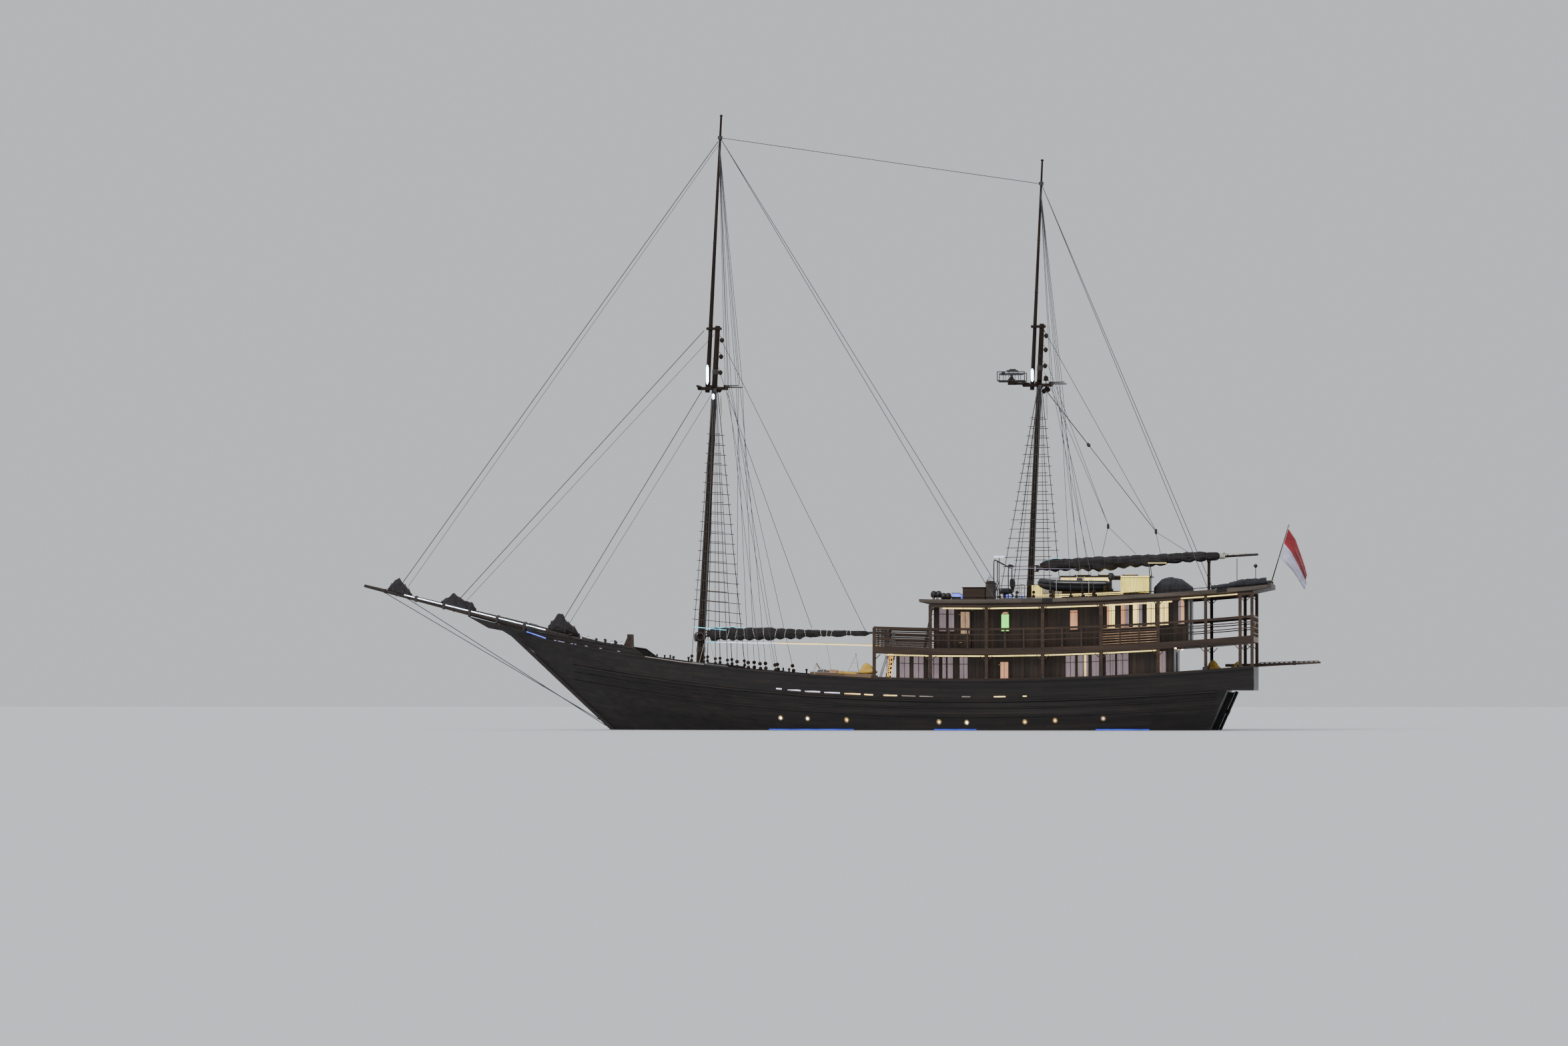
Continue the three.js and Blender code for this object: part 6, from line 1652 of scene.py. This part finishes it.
for x in (-3.70, -4.70):
    base = roof_at(x - 0.035) + 0.002
    for side in (1, -1):
        outline = [(0.03, base), (0.26, base), (0.26, 3.46), (0.20, 3.435), (0.03, 3.405)]
        chocks.append(plate([in_tender(x - 0.03, side * y, z) for y, z in outline], at(0.06, 0, 0)))
piece("tender_chocks", chocks, frame_timber, bevel=0.003)
for x in (-3.80, -4.60):
    half_strap = [(0.375, roof_at(x) + 0.01), (0.372, 3.66), (0.30, 3.705)]
    over = half_strap + [(0, 3.712)] + [(-y, z) for y, z in reversed(half_strap)]
    straps.append(tube([in_tender(x, y, z) for y, z in over], 0.006, 6))
piece("tender_straps", straps, pale_rope, smooth=60)
print("tender length:", round(whole[6].x - whole[0].x, 2))

# %% [markdown]
# An open steering stand is on the roof ahead of the mainmast: a console with a raked windscreen on the packed
# block, a locker before it, a wheel, two dark seats and a steel rail behind them. Two seats are alike, so one
# recipe makes both.

# %% The steering stand
STAND_TOP, SEAT_X, WHEEL_X, WHEEL_RIM = 3.64, -2.45, -2.245, 0.14
locker_foot = roof_at(-1.68) + 0.003
piece("stand_top", [block((-2.19, -0.43, STAND_TOP), (-1.97, 0.43, STAND_TOP + 0.025)),
                    block((-2.16, -0.36, STAND_TOP + 0.025), (-2.04, 0.36, STAND_TOP + 0.06)),
                    block((-1.965, -0.45, locker_foot), (-1.41, 0.45, 3.52)),
                    block((-1.97, -0.47, 3.522), (-1.39, 0.47, 3.55))], frame_timber, bevel=0.006)
low, high = at(-1.985, 0, STAND_TOP + 0.02), at(-2.075, 0, STAND_TOP + 0.20)
GLASS_FACES = [(0, 2, 6, 4), (1, 5, 7, 3), (0, 1, 3, 2), (4, 6, 7, 5), (0, 4, 5, 1), (2, 3, 7, 6)]
screens = []
for sides in ((-0.42, -0.15), (-0.13, 0.13), (0.15, 0.42)):
    points = [p + at(off, y, 0) for p in (low, high) for y in sides for off in (-0.003, 0.003)]
    screens.append((points, GLASS_FACES))
piece("stand_windscreen", screens, dark_glass)
hub = at(WHEEL_X, 0, STAND_TOP - 0.05)
steel = [tube([(-1.985, y, STAND_TOP + 0.02), (-2.075, y, STAND_TOP + 0.205)], 0.009)
         for y in (-0.43, -0.14, 0.14, 0.43)]
steel.append(tube([(-2.077, y, STAND_TOP + 0.205) for y in (-0.44, 0.44)], 0.009))
steel.append(hoop(hub, (1, 0, 0.25), WHEEL_RIM, 0.010, 28))
steel += [tube([hub, hub + at(0.03 * math.sin(t), WHEEL_RIM * math.cos(t), 0.135 * math.sin(t))], 0.006, 6)
          for t in circle(6)]
steel.append(tube([(x, 0, hub.z) for x in (-2.18, -2.25)], 0.014, 10))
piece("stand_wheel_and_frame", steel, bright_steel, smooth=60)
dials = [tube([(-2.10, y, STAND_TOP + 0.055), (-2.115, y, STAND_TOP + 0.075)], 0.028, 16)
         for y in (-0.25, -0.15, 0.15, 0.25)]
piece("stand_dials", dials, lilac_slit)
SEAT_ROWS = [(0.165, 0.72), (0.18, 0.95), (0.215, 1.04), (0.255, 1.02), (0.285, 0.92), (0.297, 0.70),
             (0.292, 0.3)]
for number, y in ((1, -0.24), (2, 0.24)):
    base = at(SEAT_X, y, roof_at(SEAT_X) + 0.004)
    piece(f"helm_seat_leg_{number}", [tube([base, base + above(0.18)], 0.045, 14),
                                      tube([base, base + above(0.014)], 0.095, 18)], dark_iron, bevel=0.002)
    rows = [[base + at(0.15 * grow * math.cos(t), 0.16 * grow * math.sin(t), z) for t in circle(28)]
            for z, grow in SEAT_ROWS]
    piece(f"helm_seat_{number}", [skin(rows)], cover_cloth, smooth=180)
    rows = []
    for i, across in enumerate(spread(-0.15, 0.15, 14)):
        thick = 0.044 * (1 - (abs(i - 7) / 7.4) ** 4) + 0.004
        middle, half_high = -0.175 + 0.03 * (across / 0.15) ** 2, 0.125 * (1 - 0.25 * (across / 0.15) ** 4)
        rows.append([base + at(middle + thick * math.cos(t), across, 0.42 + half_high * math.sin(t))
                     for t in circle(20)])
    piece(f"helm_back_{number}", [skin(rows)], cover_cloth, smooth=180)
    piece(f"helm_back_stay_{number}", [tube([base + at(x, side * 0.08, z) for x, z in
                                             ((-0.10, 0.18), (-0.18, 0.22), (-0.18, 0.36))], 0.010)
                                       for side in (-1, 1)], dark_iron)
rail = [(-2.74, 3.23), (-2.74, 3.60), (-2.76, 3.63), (-2.86, 3.63), (-2.88, 3.60), (-2.88, 3.23)]
both_sides("stand_rail", [tube([(x, 0.58, z) for x, z in rail], 0.012),
                          tube([(x, 0.58, 3.42) for x in (-2.74, -2.88)], 0.010)], bright_steel, smooth=60)
both_sides("stand_rail_lamp", [block((-2.86, 0.56, 3.30), (-2.76, 0.60, 3.33)),
                               block((-2.56, 0.56, 3.25), (-2.50, 0.60, 3.36))], blue_lamp, bevel=0.004)
print("seats at the stand: 2")

# %% [markdown]
# Two bent hoops rise over the stand with a canvas cover rolled up on the lower one. A longer roll is tied
# along each side of the roof aft. A roll is a tube of cloth with a lumpy skin, drawn in where its ties hold
# it.

# %% Hoops and rolled covers


def rolled(path, sizes, ties, seed):
    path, rings, bands = [Vector(p) for p in path], [], []
    for i, share in enumerate(spread(0, 1, 69)):
        place = share * (len(path) - 1)
        k = min(int(place), len(path) - 2)
        spot, along = path[k].lerp(path[k + 1], place - k), path[k + 1] - path[k]
        thick = sizes[k] + (sizes[k + 1] - sizes[k]) * (place - k)
        across, over = square_to(along)
        pinch = 1 - 0.22 * max(math.exp(-((share - tie) / 0.018) ** 2) for tie in ties)
        ring = []
        for t in circle(20):
            lump = noise.noise(at(i * 0.13 + seed, 2 * math.cos(t), 2 * math.sin(t)))
            reach = thick * pinch * (1 + 0.24 * lump)
            ring.append(spot + reach * (math.cos(t) * across + math.sin(t) * over))
        rings.append(ring)
        if any(abs(share - tie) < 0.5 / 69 for tie in ties):
            bands.append(hoop(spot, along, thick * 0.84, 0.006, 18, 6))
    return [skin(rings)], bands


hoops = []
for x, top in ((-2.20, 4.22), (-2.56, 4.03)):
    leg = [(x, 0.62, roof_at(x) + 0.002), (x, 0.62, top - 0.12), (x - 0.005, 0.585, top - 0.035),
           (x - 0.01, 0.50, top)]
    hoops.append(tube([(x, -y, z) for x, y, z in leg] + leg[::-1], 0.014))
hoops += [tube([(-2.21, y, 4.215), (-2.57, y, 4.025)], 0.010, 6) for y in (-0.5, 0.5)]
piece("stand_frame", hoops, dark_iron, smooth=60)
light_line = [(x, 0.50, z) for x, z in ((-2.57, 4.035), (-3.40, 4.0), (-4.24, 3.99))]
both_sides("stand_light_line", [tube(light_line, 0.004, 6)], lilac_slit)
cover, bands = rolled([(-2.58, -0.48, 4.075), (-2.58, 0.48, 4.075)], [0.040, 0.040], (0.2, 0.5, 0.8), 1.0)
piece("rolled_top", cover, cover_cloth, smooth=180)
piece("rolled_top_ties", bands, tarred_rope)
path = [at(*on_gallery([x], 0.04, ROOF + 0.05)[0]) + above(lift)
        for x, lift in ((-7.62, 0.0), (-8.05, 0.02), (-8.35, 0.055), (-8.98, 0.05))]
cover, bands = rolled(path, [0.045, 0.055, 0.085, 0.080], (0.12, 0.34, 0.55, 0.72, 0.9), 5.0)
both_sides("side_cover_roll", cover, cover_cloth, smooth=180)
both_sides("side_cover_ties", bands, tarred_rope)
print("hoops: 2, rolls: 3")

# %% [markdown]
# The ladder leans from the upper deck to the roof. A blue lamp box, vents, grab rails and two canisters with
# life rafts are on the roof round the stand, and a pale lamp and a round ball stand on posts.

# %% Ladder, lamps and posts
LADDER_STEPS = 10
ladder = []
low, high = at(-0.55, 1.30, sheer(-0.55) + FLOOR), at(-0.80, 1.30, roof_at(-0.80))
for off in (0, 0.36):
    foot, head = low + at(0, off, 0.002), high + at(0, off, 0.14)
    ladder.append(tube([foot, head, head + at(-0.06, 0, -0.04), head + at(-0.08, 0, -0.13)], 0.013))
ladder += [bar(spot, spot + at(0, 0.36, 0), 0.065, 0.018)
           for spot in [low.lerp(high, i / LADDER_STEPS) for i in range(1, LADDER_STEPS)]]
piece("roof_ladder", ladder, frame_timber, smooth=50)
box = at(-1.31, 1.20, roof_at(-1.33) + 0.04)
lamp = [block(box + at(-0.09, -0.06, 0.028), box + at(0.09, 0.06, 0.12))]
both_sides("lamp_box", lamp, blue_lamp, bevel=0.008)
both_sides("lamp_box_case", [block(box + at(-0.11, -0.08, under), box + at(0.11, 0.08, over))
                             for under, over in ((-0.036, 0.030), (0.118, 0.135))], dark_iron, bevel=0.004)
vents = [turned((x, 1.45, 0), (0, 0, 1), (3.27, 3.30, 3.36, 3.42, 3.44), [0.05, 0.075, 0.085, 0.06, 0.02], 12)
         for x in (-0.78, -0.90)]
both_sides("roof_corner_vents", vents, dark_iron, smooth=50)
POLES = [(-8.224, 0.9, 4.24), (-8.694, 1.3, 4.0), (-2.34, 0.70, 4.27)]
poles = [tube([(x, y, roof_at(x) + 0.002), (x, y, top)], 0.010) for x, y, top in POLES]
poles += [tube([(x, y, roof_at(x) + 0.002), (x, y, roof_at(x) + 0.014)], 0.035, 14) for x, y, _ in POLES]
piece("roof_posts", poles, dark_iron, bevel=0.001)
piece("ball_on_post", [ball((-8.694, 1.3, 4.04), 0.048, 12, 20)], dark_iron, smooth=180)
piece("pale_lamp", [block((-2.47, 0.66, 4.27), (-2.21, 0.74, 4.315))], lilac_lamp, bevel=0.012)
rafts, raft_bands = [], []
for x in (-3.55, -4.35):
    spot = at(x, -0.95, roof_at(x) + 0.19)
    rafts.append(turned(spot, (1, 0, 0), (-0.31, -0.29, -0.24, 0.24, 0.29, 0.31),
                        [0.05, 0.12, 0.15, 0.15, 0.12, 0.05], 26))
    raft_bands += [hoop(spot + at(off, 0, 0), (1, 0, 0), 0.152, 0.007, 26, 6) for off in (-0.16, 0.0, 0.16)]
    raft_bands += [bar(*[spot + at(off, y, -0.175) for y in (-0.15, 0.15)], 0.03, 0.02)
                   for off in (-0.16, 0.16)]
    raft_bands += [bar(spot + at(off, y, -0.18), spot + at(off, y, -0.06), 0.02, 0.02)
                   for off in (-0.16, 0.16) for y in (-0.13, 0.13)]
piece("raft_canisters", rafts, pad_cloth, smooth=50)
piece("raft_bands", raft_bands, bright_steel)
grab = []
for side in (1, -1):
    places = on_gallery([-0.9 - 0.35 * i for i in range(21)], 0.01, ROOF + 0.055)
    path = [at(x, side * y, z) for x, y, z in places]
    grab.append(tube(path, 0.010, 6))
    grab += [tube([p - above(0.055), p], 0.009, 6) for p in path[::2]]
piece("roof_grab_rails", grab, spar_timber)
print("posts on the roof:", len(POLES), "canisters:", len(rafts))

# %% [markdown]
# The radar turns on its foot. Its case has rounded ends, a seam along each side and two bolts on top, and
# these ride on the turning piece. The rings of the motor housing and its cable are fixed on the arm below. A
# guard rail stands round the swept circle.

# %% Radar
RADAR = at(-2.6, 0, 8.83)
GUARD_Y, GUARD_LOW, GUARD_HIGH = 0.37, 8.68, 8.90
case = []
for x in spread(-0.31, 0.31, 24):
    end = max(0.35, 1 - (max(0.0, abs(x) - 0.25) / 0.06) ** 2 * 0.6) if abs(x) > 0.25 else 1.0
    squared = [(t, 1 + 0.12 * abs(math.sin(2 * t))) for t in circle(24)]
    case.append([RADAR + at(x, 0.036 * end * math.cos(t) * grow, 0.030 + 0.031 * end * math.sin(t) * grow)
                 for t, grow in squared])
foot = turned(RADAR, (0, 0, 1), (-0.044, -0.02, 0.0, 0.01), [0.032, 0.032, 0.04, 0.05], 20)
scanner = piece("scanner_case", [skin(case), foot], radar_case, body="radar", smooth=50)
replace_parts(scanner, "radar_scanner")
seams = [tube([RADAR + at(x, y, 0.030) for x in spread(-0.29, 0.29, 12)], 0.003, 6)
         for y in (0.0385, -0.0385)]
piece("scanner_seam", seams, bright_steel, body="radar")
bolts = [tube([RADAR + at(-0.29, y, z) for z in (0.056, 0.066)], 0.004, 6) for y in (-0.02, 0.02)]
piece("scanner_bolts", bolts, bright_steel, body="radar")
housing = [hoop(RADAR + above(z), (0, 0, 1), reach, 0.006, 24, 6)
           for z, reach in ((-0.09, 0.056), (-0.14, 0.060))]
cable = [RADAR + at(x, 0, z) for x, z in ((-0.07, -0.18), (-0.3, -0.20), (-0.62, -0.24))]
piece("radar_housing", housing + [tube(cable, 0.007, 6)], dark_iron)
guard = []
for y in (GUARD_Y, -GUARD_Y):
    path = [(-2.27, y, GUARD_LOW), (-2.27, y, GUARD_HIGH), (-2.95, y, GUARD_HIGH), (-2.95, y, GUARD_LOW)]
    guard += [tube([a, b], 0.011, 6) for a, b in zip(path, path[1:] + path[:1])]
    guard += [tube([(x, y, GUARD_LOW), (x, y, GUARD_HIGH)], 0.007, 6) for x in (-2.42, -2.56, -2.66, -2.80)]
guard += [tube([(x, y, GUARD_LOW) for y in (-GUARD_Y, GUARD_Y)], 0.011, 6)
          for x in (-2.27, -2.95, -2.54, -2.68)]
guard.append(tube([(-2.28, 0, GUARD_LOW), (-2.95, 0, GUARD_LOW)], 0.012, 6))
guard += [tube([(x, y, 8.924) for y in (-GUARD_Y, GUARD_Y)], 0.009, 6) for x in (-2.52, -2.72)]
piece("radar_guard", guard, dark_iron, smooth=50)
piece("guard_aerials", [block((-2.76, -0.10, 8.934), (-2.48, 0.10, 8.955)),
                        block((-2.71, -0.07, 8.950), (-2.55, 0.07, 8.985)),
                        ball((-2.42, GUARD_Y, 8.87), 0.045, 10, 14)], dark_iron, bevel=0.004)
print("radar dressed, guard bars:", len(guard))
